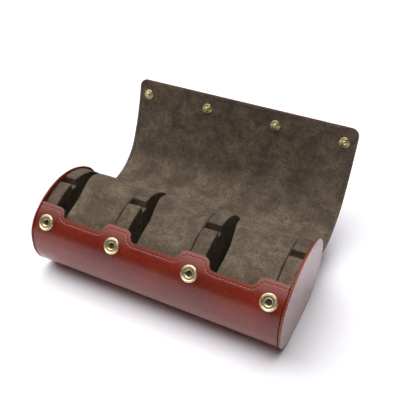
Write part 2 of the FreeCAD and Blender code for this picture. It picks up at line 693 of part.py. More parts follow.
def eyelet_profile():
    """Gives the outline of the ring that holds a socket from behind the leather, in a hole of the board."""
    low, high = f"-({EYELET_SEAT} + {cell('eyelet')})", f"-{EYELET_SEAT}"
    hole, radius = cell("eyelet_hole"), cell("eyelet_radius")
    return [(hole, low), (radius, low), (radius, high), (hole, high)]


def make_spring(label):
    """Makes the split ring that grips the stud inside a socket."""
    ring = document.addObject("Part::Torus", label)
    bind(ring, "Radius2", f"{cell('spring_wire')} / 2")
    bind(ring, "Radius1", f"{cell('barrel_radius')} - {cell('barrel_wall')} - {cell('spring_wire')} / 2")
    bind(ring, "Angle3", f"(360 - {cell('spring_opening_angle')}) * 1 deg")
    return ring


def lay_on_front(piece, x, lift="0"):
    """Lays a snap piece square on the front wall's leather."""
    y, z = shoulder_point(cell("snap_angle"), f"-({lift})")
    place(piece, x, y, z, turn=cell("snap_angle"))


def lay_on_lid(piece, x, depth):
    """Lays a snap piece on the lid's front at a depth below its outer leather."""
    turn = sweep_angle(STUD_PLACE)
    reach = f"({cell('lid_sweep')} - ({depth}))"
    y = f"{SWEEP_Y} + {reach} * cos({turn} * 1 deg)"
    z = f"{SWEEP_Z} + {reach} * sin({turn} * 1 deg)"
    place(piece, x, y, z, turn=f"{turn} + {RIGHT_ANGLE}")


def make_snaps():
    """Makes the four sockets with their springs and eyelets, and the four studs with their caps."""
    sockets, springs, eyelets, studs, caps = [], [], [], [], []
    under_lip = f"({cell('socket_proud')} - {cell('socket_dish')} - {cell('lip')} - {cell('spring_wire')} / 2)"
    for number, x in enumerate(SNAP_PLACES, start=1):
        socket = turned(f"socket_{number}", socket_profile())
        eyelet = turned(f"eyelet_{number}", eyelet_profile())
        spring = make_spring(f"spring_{number}")
        stud = turned(f"stud_{number}", stud_profile())
        cap = turned(f"snap_cap_{number}", snap_cap_profile())
        for piece in (socket, eyelet):
            lay_on_front(piece, x)
        lay_on_front(spring, x, under_lip)
        lay_on_lid(stud, x, LID_WALL)
        lay_on_lid(cap, x, "0")
        for pieces, piece in zip((sockets, springs, eyelets, studs, caps), (socket, spring, eyelet, stud, cap)):
            pieces.append(piece)
    return [
        group("snap_sockets", sockets), group("socket_springs", springs), group("socket_eyelets", eyelets),
        group("snap_studs", studs), group("snap_caps", caps),
    ]


# The whole case
def write_parts(parts):
    """Checks every object of the document and writes one file for each sub-part."""
    document.recompute()
    for thing in document.Objects:
        if {"Invalid", "Error"} & set(thing.State):
            raise RuntimeError(f"{thing.Name} did not build: {thing.State}")
    os.makedirs("parts", exist_ok=True)
    for part in parts:
        shape = part.Shape
        if shape.isNull() or not shape.isValid() or not shape.Solids:
            raise RuntimeError(f"{part.Label} has no valid solid")
        shape.exportStep(f"parts/{part.Label}.step")
        print(f"{part.Label}: {len(shape.Solids)} solids, {shape.Volume:.1f} mm3")


wall_blank = wall_layer("wall_blank", "0", WALL)
write_parts([
    *make_wall(),
    *make_caps(),
    *make_dividers(wall_blank),
    *make_cushions(),
    *make_lid(),
    *make_snaps(),
])
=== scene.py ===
"""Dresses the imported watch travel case: oxblood leather outside, taupe suede inside, brass snaps."""
import logging
import math
from dataclasses import dataclass, field
from enum import Enum
from typing import Any, Iterable, Sequence

import bmesh
import bpy
import numpy as np
from bpy.types import Material, Node, NodeSocket, NodeTree, Object
from mathutils import Matrix, Vector


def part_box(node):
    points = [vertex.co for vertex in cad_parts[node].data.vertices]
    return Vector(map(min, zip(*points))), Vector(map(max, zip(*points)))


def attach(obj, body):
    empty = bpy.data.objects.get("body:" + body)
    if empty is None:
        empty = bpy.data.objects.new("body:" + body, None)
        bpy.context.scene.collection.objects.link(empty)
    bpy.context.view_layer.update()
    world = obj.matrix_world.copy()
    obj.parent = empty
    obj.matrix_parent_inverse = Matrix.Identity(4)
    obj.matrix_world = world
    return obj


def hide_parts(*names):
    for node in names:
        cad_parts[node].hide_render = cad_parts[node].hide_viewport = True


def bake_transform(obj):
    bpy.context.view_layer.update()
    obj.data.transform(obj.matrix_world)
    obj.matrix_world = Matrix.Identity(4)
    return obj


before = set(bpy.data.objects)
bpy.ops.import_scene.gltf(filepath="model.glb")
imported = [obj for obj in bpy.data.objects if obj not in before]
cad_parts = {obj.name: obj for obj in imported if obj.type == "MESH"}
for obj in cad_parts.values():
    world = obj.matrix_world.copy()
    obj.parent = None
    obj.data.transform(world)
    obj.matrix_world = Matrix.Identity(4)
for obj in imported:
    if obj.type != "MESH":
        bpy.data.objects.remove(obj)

Pair = tuple[float, float]  # Y and Z, radius and height, or a place and its value
MM = 0.001
LAY = "lay"  # the attribute that keeps where each point lies on the flat hide
TINY = 1e-6  # two points closer than this, in millimetres, are one
ARC_STEP = 0.5  # the longest way between two points of an arc in millimetres
LATHE_TURNS = 56
EDGE_STEPS = 5  # how many bands round a sheet's cut edge
log = logging.getLogger("case")


class Side(Enum):
    """The two ends of the case."""

    LEFT = -1
    RIGHT = 1


class Face(Enum):
    """The two faces of the lid that carry a stitch line."""

    OUTSIDE = "outside"
    INSIDE = "inside"


# Small helpers for colour, nodes and meshes
def linear(code: str) -> tuple[float, float, float, float]:
    """Turns an sRGB hex colour into the linear values of a shader.

    Args:
        code: The colour as "#rrggbb".

    Returns:
        Red, green, blue and an alpha of one.
    """
    parts = [int(code[i:i + 2], 16) / 255 for i in (1, 3, 5)]
    red, green, blue = (c / 12.92 if c <= 0.04045 else ((c + 0.055) / 1.055) ** 2.4 for c in parts)
    return red, green, blue, 1.0


def add_node(tree: NodeTree, kind: str, settings: dict[str, Any] | None = None,
             inputs: dict[str | int, Any] | None = None) -> Node:
    """Adds one node with its settings, and its inputs as plain values or as links.

    Args:
        tree: The node tree that gets the node.
        kind: The node's type name.
        settings: Properties of the node by name.
        inputs: By the input's name or number, a value, an output socket, or a node for its first output.

    Returns:
        The new node.
    """
    node = tree.nodes.new(kind)
    for name, value in (settings or {}).items():
        setattr(node, name, value)
    for name, value in (inputs or {}).items():
        if isinstance(value, Node):
            value = next(output for output in value.outputs if output.enabled)
        if isinstance(value, NodeSocket):
            tree.links.new(value, node.inputs[name])
        else:
            node.inputs[name].default_value = value
    return node


def new_piece(name: str, points: Sequence[Vector], faces: Sequence[Sequence[int]], sharp: float = 40.0,
              lay: Sequence[Vector] | None = None, inks: Sequence[int] | None = None) -> Object:
    """Makes one mesh object with outward faces, smooth shading and a lay for its pattern.

    Args:
        name: The piece's name.
        points: Its vertices in the row frame.
        faces: Its faces as vertex numbers.
        sharp: The angle in degrees above which an edge stays crisp.
        lay: Where each vertex lies on the flat material, or None for its own place.
        inks: The material number of each face, or None for the first.

    Returns:
        The linked object.
    """
    mesh = bpy.data.meshes.new(name)
    mesh.from_pydata([tuple(p) for p in points], [], [tuple(f) for f in faces])
    if inks is not None:
        mesh.polygons.foreach_set("material_index", list(inks))
    spread = mesh.attributes.new(LAY, "FLOAT_VECTOR", "POINT")
    places = np.array([tuple(p) for p in (lay or points)], np.float32)
    spread.data.foreach_set("vector", places.ravel())
    shape = bmesh.new()
    shape.from_mesh(mesh)
    bmesh.ops.recalc_face_normals(shape, faces=shape.faces)
    shape.to_mesh(mesh)
    shape.free()
    mesh.shade_smooth()
    mesh.set_sharp_from_angle(angle=math.radians(sharp))
    piece = bpy.data.objects.new(name, mesh)
    bpy.context.scene.collection.objects.link(piece)
    return piece


def baked(piece: Object) -> Object:
    """Applies a piece's modifiers to its mesh.

    Args:
        piece: The piece to settle.

    Returns:
        The same piece with a plain mesh.
    """
    bpy.context.view_layer.update()
    graph = bpy.context.evaluated_depsgraph_get()
    mesh = bpy.data.meshes.new_from_object(
        piece.evaluated_get(graph), preserve_all_data_layers=True, depsgraph=graph)
    piece.modifiers.clear()
    piece.data = mesh
    return piece


def dress(piece: Object, body: str | None, slot: str, *materials: Material) -> None:
    """Gives a piece its materials and the body that it rides on.

    Args:
        piece: The piece to dress.
        body: The CAD body that carries it, or None to leave a piece that spans two bodies on none.
        slot: The record's material slot; not used.
        materials: Its materials in slot order.
    """
    piece.data.materials.clear()
    for material in materials:
        piece.data.materials.append(material)
    if body:
        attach(piece, body)
    log.info("%s: %d vertices on %s", piece.name, len(piece.data.vertices), body or "two bodies")


def repaint(node_name: str, material: Material) -> None:
    """Gives a piece that keeps its CAD mesh its material."""
    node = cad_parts[node_name]
    node.data.materials.clear()
    node.data.materials.append(material)


def band(low: Sequence[int], high: Sequence[int]) -> list[list[int]]:
    """Lists the faces between two closed rings of vertex numbers; a ring may be one number repeated."""
    corners = zip(low, [*low[1:], low[0]], [*high[1:], high[0]], high)
    return [list(dict.fromkeys(face)) for face in corners]


def tube(rings: Sequence[Sequence[int]]) -> list[list[int]]:
    """Lists the faces between rings that follow one another."""
    return [face for low, high in zip(rings, rings[1:]) for face in band(low, high)]


def stand(place: Vector, side: Vector, axis: Vector) -> Matrix:
    """Makes a placement from its place, its X axis and its Z axis."""
    return Matrix.Translation(place) @ Matrix((side, axis.cross(side), axis)).transposed().to_4x4()


def lathe(name: str, outline: Sequence[Pair], place: Matrix, turns: int = LATHE_TURNS) -> Object:
    """Turns an outline of radius and height about an upright axis and sets it in place.

    Args:
        name: The piece's name.
        outline: Radius and height of each point, in millimetres, closed on itself or on the axis.
        place: Where the turned piece goes, its Z along the axis.
        turns: How many steps go round.

    Returns:
        The turned piece.
    """
    points: list[Vector] = []
    rings: list[list[int]] = []
    for radius, height in outline:
        steps = turns if radius else 1
        rings.append([len(points) + i % steps for i in range(turns)])
        for i in range(steps):
            angle, reach = math.tau * i / turns, radius * MM
            points.append(Vector((reach * math.cos(angle), reach * math.sin(angle), height * MM)))
    closing = rings[:1] if outline[0][0] else []
    return new_piece(name, [place @ p for p in points], tube(rings + closing), sharp=50.0)


# Shapes across the case
def arc(centre: Pair, radius: float, start: float, end: float, count: int = 0) -> list[Pair]:
    """Lists points of an arc.

    Args:
        centre: Its centre in Y and Z, in millimetres.
        radius: Its radius in millimetres.
        start: Its first angle in degrees.
        end: Its last angle in degrees.
        count: How many points it gets, or 0 for close ones.

    Returns:
        The points from start to end.
    """
    count = count or max(2, math.ceil(abs(math.radians(end - start)) * radius / ARC_STEP) + 1)
    angles = np.radians(np.linspace(start, end, count))
    return [(centre[0] + radius * math.cos(a), centre[1] + radius * math.sin(a)) for a in angles]


@dataclass(frozen=True)
class Profile:
    """A path across the case in Y and Z, in millimetres, with the inside of the case on its left."""

    points: np.ndarray
    lengths: np.ndarray
    headings: np.ndarray

    @classmethod
    def through(cls, points: Iterable[Pair]) -> "Profile":
        """Builds a path through close points.

        Args:
            points: The points in order.

        Returns:
            The path with its lengths and headings.
        """
        kept: list[Pair] = []
        for point in points:
            if not kept or math.dist(point, kept[-1]) > TINY:
                kept.append(point)
        track = np.array(kept)
        steps = np.diff(track, axis=0)
        lengths = np.concatenate([[0.0], np.cumsum(np.hypot(*steps.T))])
        turns = np.unwrap(np.arctan2(steps[:, 1], steps[:, 0]))
        middles = (lengths[:-1] + lengths[1:]) / 2
        return cls(track, lengths, np.interp(lengths, middles, turns))

    @property
    def length(self) -> float:
        """The whole length in millimetres."""
        return float(self.lengths[-1])

    def inward(self, along: float) -> Vector:
        """The direction to the inside of the case at a length."""
        turn = float(np.interp(along, self.lengths, self.headings))
        return Vector((0, -math.sin(turn), math.cos(turn)))

    def place(self, x: float, along: float, depth: float = 0.0) -> Vector:
        """Works out a point of the case.

        Args:
            x: Its place along the case in millimetres.
            along: Its length along the path in millimetres.
            depth: How far inside the path it lies in millimetres.

        Returns:
            The point in metres.
        """
        y = float(np.interp(along, self.lengths, self.points[:, 0]))
        z = float(np.interp(along, self.lengths, self.points[:, 1]))
        return (Vector((x, y, z)) + self.inward(along) * depth) * MM

    def seat(self, x: float, along: float, depth: float, outwards: bool) -> Matrix:
        """Makes the placement of a round piece that sits square on the path.

        Args:
            x: Its place along the case in millimetres.
            along: Its length along the path in millimetres.
            depth: How far inside the path it sits in millimetres.
            outwards: Whether its axis points out of the case or into it.

        Returns:
            The placement, its Z along the piece's axis.
        """
        axis = self.inward(along) * (-1 if outwards else 1)
        return stand(self.place(x, along, depth), Vector((1, 0, 0)), axis)


@dataclass(frozen=True)
class Section:
    """The driving sizes of the case's section and lid, in millimetres and degrees."""

    flat_half: float = 14.0
    floor_radius: float = 29.0
    belt: float = 4.2
    shoulder_radius: float = 26.0
    crown_rise: float = 32.2
    hinge_drop: float = 4.5
    lid_drop: float = 29.0
    lid_curl: float = 44.0
    lid_curl_length: float = 70.0
    lid_sweep: float = 190.0
    lid_length: float = 126.0
    fold: float = 1.1
    tongue_angle: float = 28.7

    @property
    def half_width(self) -> float:
        """Half the width of the section."""
        return self.flat_half + self.floor_radius

    @property
    def shoulder_y(self) -> float:
        """How far each shoulder's centre lies from the middle."""
        return self.half_width - self.shoulder_radius

    @property
    def belt_z(self) -> float:
        """The height of the shoulders' centres."""
        return self.floor_radius + self.belt

    @property
    def height(self) -> float:
        """The height of the section."""
        return self.belt_z + self.crown_rise

    @property
    def crown_radius(self) -> float:
        """The radius of the arc over the top."""
        rise, shoulder = self.crown_rise, self.shoulder_radius
        return (self.shoulder_y ** 2 + rise ** 2 - shoulder ** 2) / (2 * (rise - shoulder))

    @property
    def crown_z(self) -> float:
        """The height of the crown's centre."""
        return self.height - self.crown_radius

    @property
    def crown_lean(self) -> float:
        """How far from the top the crown meets a shoulder, in degrees."""
        return math.degrees(math.atan2(self.shoulder_y, self.belt_z - self.crown_z))

    @property
    def hinge(self) -> Pair:
        """The hinge line at the top of the back wall, in Y and Z."""
        reach = math.sqrt(self.floor_radius ** 2 - self.hinge_drop ** 2)
        return self.flat_half + reach, self.floor_radius - self.hinge_drop

    @property
    def hinge_angle(self) -> float:
        """The hinge line's angle at the back floor arc's centre, in degrees."""
        return -math.degrees(math.asin(self.hinge_drop / self.floor_radius))

    @property
    def hinge_along(self) -> float:
        """The length from the top round the front and the floor to the hinge line."""
        crown = self.crown_radius * math.radians(self.crown_lean)
        shoulder = self.shoulder_radius * math.radians(90 - self.crown_lean)
        back = self.floor_radius * (math.pi / 2 - math.asin(self.hinge_drop / self.floor_radius))
        floor = self.floor_radius * math.pi / 2 + 2 * self.flat_half
        return crown + shoulder + self.belt + floor + back

    def lean_along(self, lean: float) -> float:
        """The length from the top to a point of the crown that leans forward by an angle."""
        return self.crown_radius * math.radians(lean)

    def front_half(self) -> list[Pair]:
        """Lists the points from the top round the front and the floor to the hinge line."""
        return [
            *arc((0, self.crown_z), self.crown_radius, 90, 90 + self.crown_lean),
            *arc((-self.shoulder_y, self.belt_z), self.shoulder_radius, 90 + self.crown_lean, 180),
            *arc((-self.flat_half, self.floor_radius), self.floor_radius, 180, 270),
            *arc((self.flat_half, self.floor_radius), self.floor_radius, 270, 360 + self.hinge_angle),
        ]

    def outline(self) -> Profile:
        """Builds the closed section from the top round the front and back to the top."""
        return Profile.through([
            *self.front_half(),
            *arc((self.flat_half, self.floor_radius), self.floor_radius, self.hinge_angle, 0),
            *arc((self.shoulder_y, self.belt_z), self.shoulder_radius, 0, 90 - self.crown_lean),
            *arc((0, self.crown_z), self.crown_radius, 90 - self.crown_lean, 90),
        ])

    def lid_points(self) -> list[Pair]:
        """Lists the points of the open lid's outer leather from the hinge line to its free edge."""
        start = -90 - self.lid_drop
        bend = start + math.degrees(self.lid_curl_length / self.lid_curl)
        far = bend + math.degrees((self.lid_length - self.lid_curl_length) / self.lid_sweep)
        (hinge_y, hinge_z), drop, turn = self.hinge, math.radians(self.lid_drop), math.radians(bend)
        curl = (hinge_y + self.lid_curl * math.sin(drop), hinge_z + self.lid_curl * math.cos(drop))
        step = self.lid_curl - self.lid_sweep
        sweep = (curl[0] + step * math.cos(turn), curl[1] + step * math.sin(turn))
        return [*arc(curl, self.lid_curl, start, bend), *arc(sweep, self.lid_sweep, bend, far)]

    def skin(self) -> Profile:
        """Builds the hide's path over the front, under the case, up the back and out along the lid."""
        hinge = np.array(self.hinge)
        wall = [p for p in self.front_half() if math.dist(p, self.hinge) > self.fold]
        lid = [p for p in self.lid_points() if math.dist(p, self.hinge) > self.fold]
        first, last = np.array(wall[-1]), np.array(lid[0])
        bend = [
            tuple((1 - t) ** 2 * first + 2 * t * (1 - t) * hinge + t ** 2 * last)
            for t in np.linspace(0, 1, 12)[1:-1]
        ]
        return Profile.through([*wall, *bend, *lid])


SECTION = Section()
OUTLINE = SECTION.outline()
SKIN = SECTION.skin()
HALF_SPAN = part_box("body_leather")[1].x / MM
END_SNAP, MIDDLE_SNAP = HALF_SPAN - 10.1, 30.8  # over the middle of the end and the inner dividers
SNAP_PLACES = (-END_SNAP, -MIDDLE_SNAP, MIDDLE_SNAP, END_SNAP)
LID_AT = SKIN.length - SECTION.lid_length  # where the lid starts on the hide's path


def lean_at(along: float) -> float:
    """How far the crown leans forward at a length of the outline, in degrees."""
    past = along if along < OUTLINE.length / 2 else along - OUTLINE.length
    return math.degrees(past / SECTION.crown_radius)


def read(table: Sequence[Pair], at: float) -> float:
    """Reads a table of places and values at a place."""
    return float(np.interp(at, *zip(*table)))


@dataclass(frozen=True)
class Spot:
    """One point of a panel: its place along the case, along the path, and how far it is pressed in."""

    x: float
    along: float
    sink: float = 0.0


def border(rows: int, columns: int) -> list[int]:
    """Lists the numbers of a grid's outer points, once round."""
    numbers = [*range(columns), *range(2 * columns - 1, rows * columns, columns)]
    numbers += range(rows * columns - 2, (rows - 1) * columns - 1, -1)
    return [*numbers, *range((rows - 2) * columns, 0, -columns)]


def panel(name: str, grid: list[list[Spot]], path: Profile, outer: float, inner: float,
          roll: float) -> Object:
    """Builds a sheet of real thickness on a path, with a rolled cut edge.

    Args:
        name: The piece's name.
        grid: Its points in rows along the path, each row along the case.
        path: The path that it lies on.
        outer: The depth of its outer face in millimetres.
        inner: The depth of its inner face in millimetres.
        roll: How far its edge swells out in millimetres.

    Returns:
        The sheet, with material 0 on its faces and 1 on its edge.
    """
    rows, columns = len(grid), len(grid[0])
    flat = [spot for row in grid for spot in row]
    points = [path.place(s.x, s.along, outer + s.sink) for s in flat]
    points += [path.place(s.x, s.along, inner) for s in flat]
    lay = [Vector((s.x, s.along, side)) * MM for side in (outer, inner) for s in flat]
    under = len(flat)
    faces: list[Sequence[int]] = []
    for i in range(rows - 1):
        for j in range(columns - 1):
            a, b = i * columns + j, (i + 1) * columns + j
            faces += [(a, a + 1, b + 1, b), (under + a, under + b, under + b + 1, under + a + 1)]
    inks = [0] * len(faces)
    rim = border(rows, columns)
    rings = [rim]
    for step in range(1, EDGE_STEPS):
        share = step / EDGE_STEPS
        swell = roll * math.sin(math.pi * share)
        rings.append(list(range(len(points), len(points) + len(rim))))
        for at, number in enumerate(rim):
            before, spot, after = flat[rim[at - 1]], flat[number], flat[rim[(at + 1) % len(rim)]]
            run, rise = after.x - before.x, after.along - before.along
            size = math.hypot(run, rise) or 1.0
            x, along = spot.x + rise / size * swell, spot.along - run / size * swell
            points.append(path.place(x, along, outer + spot.sink * (1 - share) + (inner - outer) * share))
            lay.append(Vector((x, along, 0)) * MM)
    rings.append([under + number for number in rim])
    edge = tube(rings)
    return new_piece(name, points, faces + edge, sharp=55.0, lay=lay, inks=inks + [1] * len(edge))


@dataclass(frozen=True)
class StitchLine:
    """A run of saddle stitches, in millimetres."""

    pitch: float = 2.7
    length: float = 2.1
    radius: float = 0.34
    sides: int = 7
    slant: float = 6.0
    flatness: float = 0.85
    # Along one stitch: the share of its length, its lift and its girth in shares of its radius
    form: tuple[tuple[float, float, float], ...] = (
        (-0.5, -1.0, 0.45), (-0.42, -0.1, 0.8), (-0.25, 0.55, 1.0), (0.0, 0.75, 1.0), (0.25, 0.55, 1.0),
        (0.42, -0.1, 0.8), (0.5, -1.0, 0.45),
    )

    def sew(self, name: str, track: Sequence[Vector], faces_out: Sequence[Vector]) -> Object:
        """Lays stitches end to end along a track; each dives into the leather at both ends.

        Args:
            name: The piece's name.
            track: Close points of the line in metres.
            faces_out: The direction away from the leather at each point.

        Returns:
            One piece that holds every stitch.
        """
        places = np.array([tuple(p) for p in track])
        outs = np.array([tuple(o) for o in faces_out])
        lengths = np.concatenate([[0.0], np.cumsum(np.linalg.norm(np.diff(places, axis=0), axis=1))])

        def at(along: float, table: np.ndarray) -> Vector:
            """Reads a table of the track at a length."""
            return Vector([float(np.interp(along, lengths, table[:, axis])) for axis in range(3)])

        count = max(1, int(lengths[-1] / (self.pitch * MM)))
        pitch = lengths[-1] / count
        length, radius = pitch * self.length / self.pitch, self.radius * MM
        points: list[Vector] = []
        faces: list[list[int]] = []
        for number in range(count):
            rings = []
            for share, lift, girth in self.form:
                along = (number + 0.5) * pitch + share * length
                out = at(along, outs).normalized()
                ahead = (at(along + length * 0.1, places) - at(along - length * 0.1, places)).normalized()
                across = out.cross(ahead)
                centre = at(along, places) + out * (lift * radius)
                centre += across * (share * length * math.sin(math.radians(self.slant)))
                rings.append(list(range(len(points), len(points) + self.sides)))
                for i in range(self.sides):
                    turn = math.tau * i / self.sides
                    way = across * math.cos(turn) + out * math.sin(turn) * self.flatness
                    points.append(centre + way * (radius * girth))
            faces += [*tube(rings), rings[0], rings[-1]]
        return new_piece(name, points, faces, sharp=80.0)


# Finishes
def new_finish(name: str, laid: bool = True) -> tuple[Material, NodeTree, NodeSocket]:
    """Starts a material.

    Args:
        name: The material's name.
        laid: Whether its pattern follows the flat hide, or else the piece's own space.

    Returns:
        The material, its tree and the place that its pattern is drawn by.
    """
    material = bpy.data.materials.new(name)
    material.use_nodes = True
    tree = material.node_tree
    if laid:
        place = add_node(tree, "ShaderNodeAttribute", {"attribute_name": LAY}).outputs["Vector"]
    else:
        place = add_node(tree, "ShaderNodeTexCoord").outputs["Object"]
    return material, tree, place


def set_shader(material: Material, **inputs: Any) -> None:
    """Sets the shader's inputs, each a value or a node; underscores stand for spaces."""
    shader = material.node_tree.nodes["Principled BSDF"]
    for name, value in inputs.items():
        socket = shader.inputs[name.replace("_", " ")]
        if isinstance(value, Node):
            material.node_tree.links.new(next(output for output in value.outputs if output.enabled), socket)
        else:
            socket.default_value = value


def two_tone(tree: NodeTree, place: NodeSocket, size: float, span: Pair, base: Any,
             top: str, most: float = 1.0, **cloud: float) -> tuple[Node, Node]:
    """Lays uneven patches of one tone over another.

    Args:
        tree: The material's tree.
        place: The place that the pattern is drawn by.
        size: The size of its patches in millimetres.
        span: Where the cloud starts to show and where it shows in full.
        base: What lies under it, a hex colour or a node.
        top: The hex colour of the patches.
        most: Their share where they show in full.
        cloud: The cloud's own detail, roughness and distortion.

    Returns:
        The raw cloud and the colour.
    """
    raw = add_node(tree, "ShaderNodeTexNoise", None, {"Vector": place, "Scale": 1 / (size * MM), **cloud})
    share = add_node(tree, "ShaderNodeMapRange", None, {
        "Value": raw, "From Min": span[0], "From Max": span[1], "To Max": most})
    under = linear(base) if isinstance(base, str) else base
    return raw, add_node(tree, "ShaderNodeMix", {"data_type": "RGBA"}, {0: share, 6: under, 7: linear(top)})


@dataclass(frozen=True)
class GlazedLeather:
    """Aniline-dyed cowhide, ironed and glazed: deep red-brown under a smooth clear shine."""

    name: str = "Glazed oxblood cowhide"
    deep: str = "#6c1c10"
    mid: str = "#862a17"
    warm: str = "#9c3d22"
    cloud: float = 34.0
    fleck: float = 2.4
    pore: float = 0.9
    sag: float = 14.0
    roughness: float = 0.35
    ior: float = 1.34
    glaze: float = 0.8
    glaze_roughness: float = 0.24
    glaze_ior: float = 1.38

    def material(self) -> Material:
        """Builds the finish: dye clouds, faint pores, and a glaze as a coat that mirrors at a slant."""
        material, tree, place = new_finish(self.name)
        _, dye = two_tone(tree, place, self.cloud, (0.35, 0.68), self.deep, self.mid,
                          Detail=4.0, Roughness=0.5)
        fleck, colour = two_tone(tree, place, self.fleck, (0.42, 0.72), dye, self.warm, 0.3, Detail=3.0)
        # Pores are about 0.1 mm apart, so the grain is drawn coarser than it is
        grain = add_node(tree, "ShaderNodeTexNoise", None, {
            "Vector": place, "Scale": 1 / (self.pore * MM), "Detail": 2.0, "Roughness": 0.5})
        pores = add_node(tree, "ShaderNodeBump", None, {
            "Strength": 0.08, "Distance": 0.03 * MM, "Height": grain})
        sag = add_node(tree, "ShaderNodeTexNoise", None, {
            "Vector": place, "Scale": 1 / (self.sag * MM), "Detail": 1.0})
        waves = add_node(tree, "ShaderNodeBump", None, {
            "Strength": 0.25, "Distance": 0.2 * MM, "Height": sag, "Normal": pores})
        shine = add_node(tree, "ShaderNodeMapRange", None, {
            "Value": fleck, "From Min": 0.3, "From Max": 0.7,
            "To Min": self.roughness - 0.04, "To Max": self.roughness + 0.06})
        set_shader(material, Base_Color=colour, Roughness=shine, Normal=waves, IOR=self.ior,
                   Coat_Weight=self.glaze, Coat_Roughness=self.glaze_roughness, Coat_IOR=self.glaze_ior)
        return material


@dataclass(frozen=True)
class BrushedSuede:
    """Split hide, buffed: a dry taupe nap that shows lighter and darker where it was stroked."""

    name: str = "Buffed taupe suede"
    shade: str = "#40372c"
    mid: str = "#64574a"
    light: str = "#8f7e6a"
    nap: float = 0.85
    patch: float = 4.5
    stroke: float = 17.0

    def material(self, laid: bool = True) -> Material:
        """Builds the finish: stroked patches, blotches, a speckled nap, a rough face and a faint sheen."""
        material, tree, place = new_finish(self.name + ("" if laid else " on the frame"), laid)
        _, stroked = two_tone(tree, place, self.stroke, (0.36, 0.66), self.mid, self.light,
                              Detail=4.0, Roughness=0.62, Distortion=0.5)
        _, patched = two_tone(tree, place, self.patch, (0.42, 0.7), stroked, self.shade, 0.5,
                              Detail=3.0, Roughness=0.65)
        # The nap's tufts are about 0.2 mm, finer than a picture shows, so the speckle is drawn coarser
        tuft, colour = two_tone(tree, place, self.nap, (0.38, 0.66), patched, self.shade, 0.85,
                                Detail=3.0, Roughness=0.8)
        rough = add_node(tree, "ShaderNodeBump", None, {
            "Strength": 0.5, "Distance": 0.25 * MM, "Height": tuft})
        set_shader(material, Base_Color=colour, Normal=rough, Roughness=0.95, Sheen_Weight=0.05,
                   Sheen_Roughness=0.5, Specular_IOR_Level=0.2)
        return material


@dataclass(frozen=True)
class Metal:
    """A turned or drawn metal, lightly polished, with the faint marks of handling."""

    name: str
    colour: str
    dull: str
    roughness: float
    wear: float = 1.3
    hammer: float = 0.75
    peening: float = 0.35

    def material(self) -> Material:
        """Builds the finish: tone and shine that wander over a finely peened face."""
        material, tree, place = new_finish(self.name, laid=False)
        wear, colour = two_tone(tree, place, self.wear, (0.45, 0.7), self.colour, self.dull, Detail=4.0)
        shine = add_node(tree, "ShaderNodeMapRange", None, {
            "Value": wear, "From Min": 0.3, "From Max": 0.7,
            "To Min": self.roughness - 0.05, "To Max": self.roughness + 0.08})
        peen = add_node(tree, "ShaderNodeTexVoronoi", {"feature": "SMOOTH_F1"}, {
            "Vector": place, "Scale": 1 / (self.hammer * MM), "Smoothness": 0.5})
        marks = add_node(tree, "ShaderNodeBump", None, {
            "Strength": self.peening, "Distance": 0.07 * MM, "Height": peen})
        set_shader(material, Base_Color=colour, Roughness=shine, Normal=marks, Metallic=1.0)
        return material


@dataclass(frozen=True)
class Matt:
    """A dull finish with one grain: painted hide edges or thread."""

    name: str
    colour: str
    second: str
    grain: float
    roughness: float

    def material(self) -> Material:
        """Builds the finish: two tones of one grain, and the grain as bump."""
        material, tree, place = new_finish(self.name)
        grain, colour = two_tone(tree, place, self.grain, (0.35, 0.68), self.colour, self.second,
                                 Detail=3.0, Roughness=0.6)
        bump = add_node(tree, "ShaderNodeBump", None, {
            "Strength": 0.3, "Distance": self.grain * 0.15 * MM, "Height": grain})
        set_shader(material, Base_Color=colour, Normal=bump, Roughness=self.roughness)
        return material


@dataclass
class Finishes:
    """Every finish of the case, each built once."""

    # Cowhide, ironed and glazed: a clear deep red with a soft mirror at a slant
    leather: Material = field(default_factory=lambda: GlazedLeather().material())
    cap_leather: Material = field(default_factory=lambda: GlazedLeather(
        "Hard-glazed oxblood cowhide", glaze=0.85).material())
    # Split hide, buffed: a dry nap, lighter and darker where it was stroked
    suede: Material = field(default_factory=lambda: BrushedSuede().material())
    suede_cad: Material = field(default_factory=lambda: BrushedSuede().material(laid=False))
    # Edge paint, burnished: darker than the hide and a little glossy; in the front stitch groove and on the
    # end caps' inner turn and inner face it is painted shade
    edge: Material = field(default_factory=lambda: Matt(
        "Burnished edge paint", "#34110c", "#471a12", 1.2, 0.4).material())
    # Waxed polyester thread, twisted: lighter and warmer than the hide
    thread: Material = field(default_factory=lambda: Matt(
        "Waxed red thread", "#c66d4d", "#a8513a", 0.4, 0.55).material())
    dark_thread: Material = field(default_factory=lambda: Matt(
        "Waxed brown thread", "#3b3027", "#2c241d", 0.4, 0.6).material())
    # Turned brass with a light lacquer: pale yellow with a bright shine
    brass: Material = field(default_factory=lambda: Metal(
        "Lacquered pale brass", "#fbecc2", "#dcc58a", 0.33).material())
    # Spun brass that has been handled: yellower and smoother than the peened rings
    stud_brass: Material = field(default_factory=lambda: Metal(
        "Spun yellow brass", "#dccd9c", "#bba970", 0.3, peening=0.03).material())
    # Drawn phosphor bronze wire: redder and duller than the brass
    bronze: Material = field(default_factory=lambda: Metal(
        "Phosphor bronze wire", "#b98a58", "#8f6a42", 0.32).material())


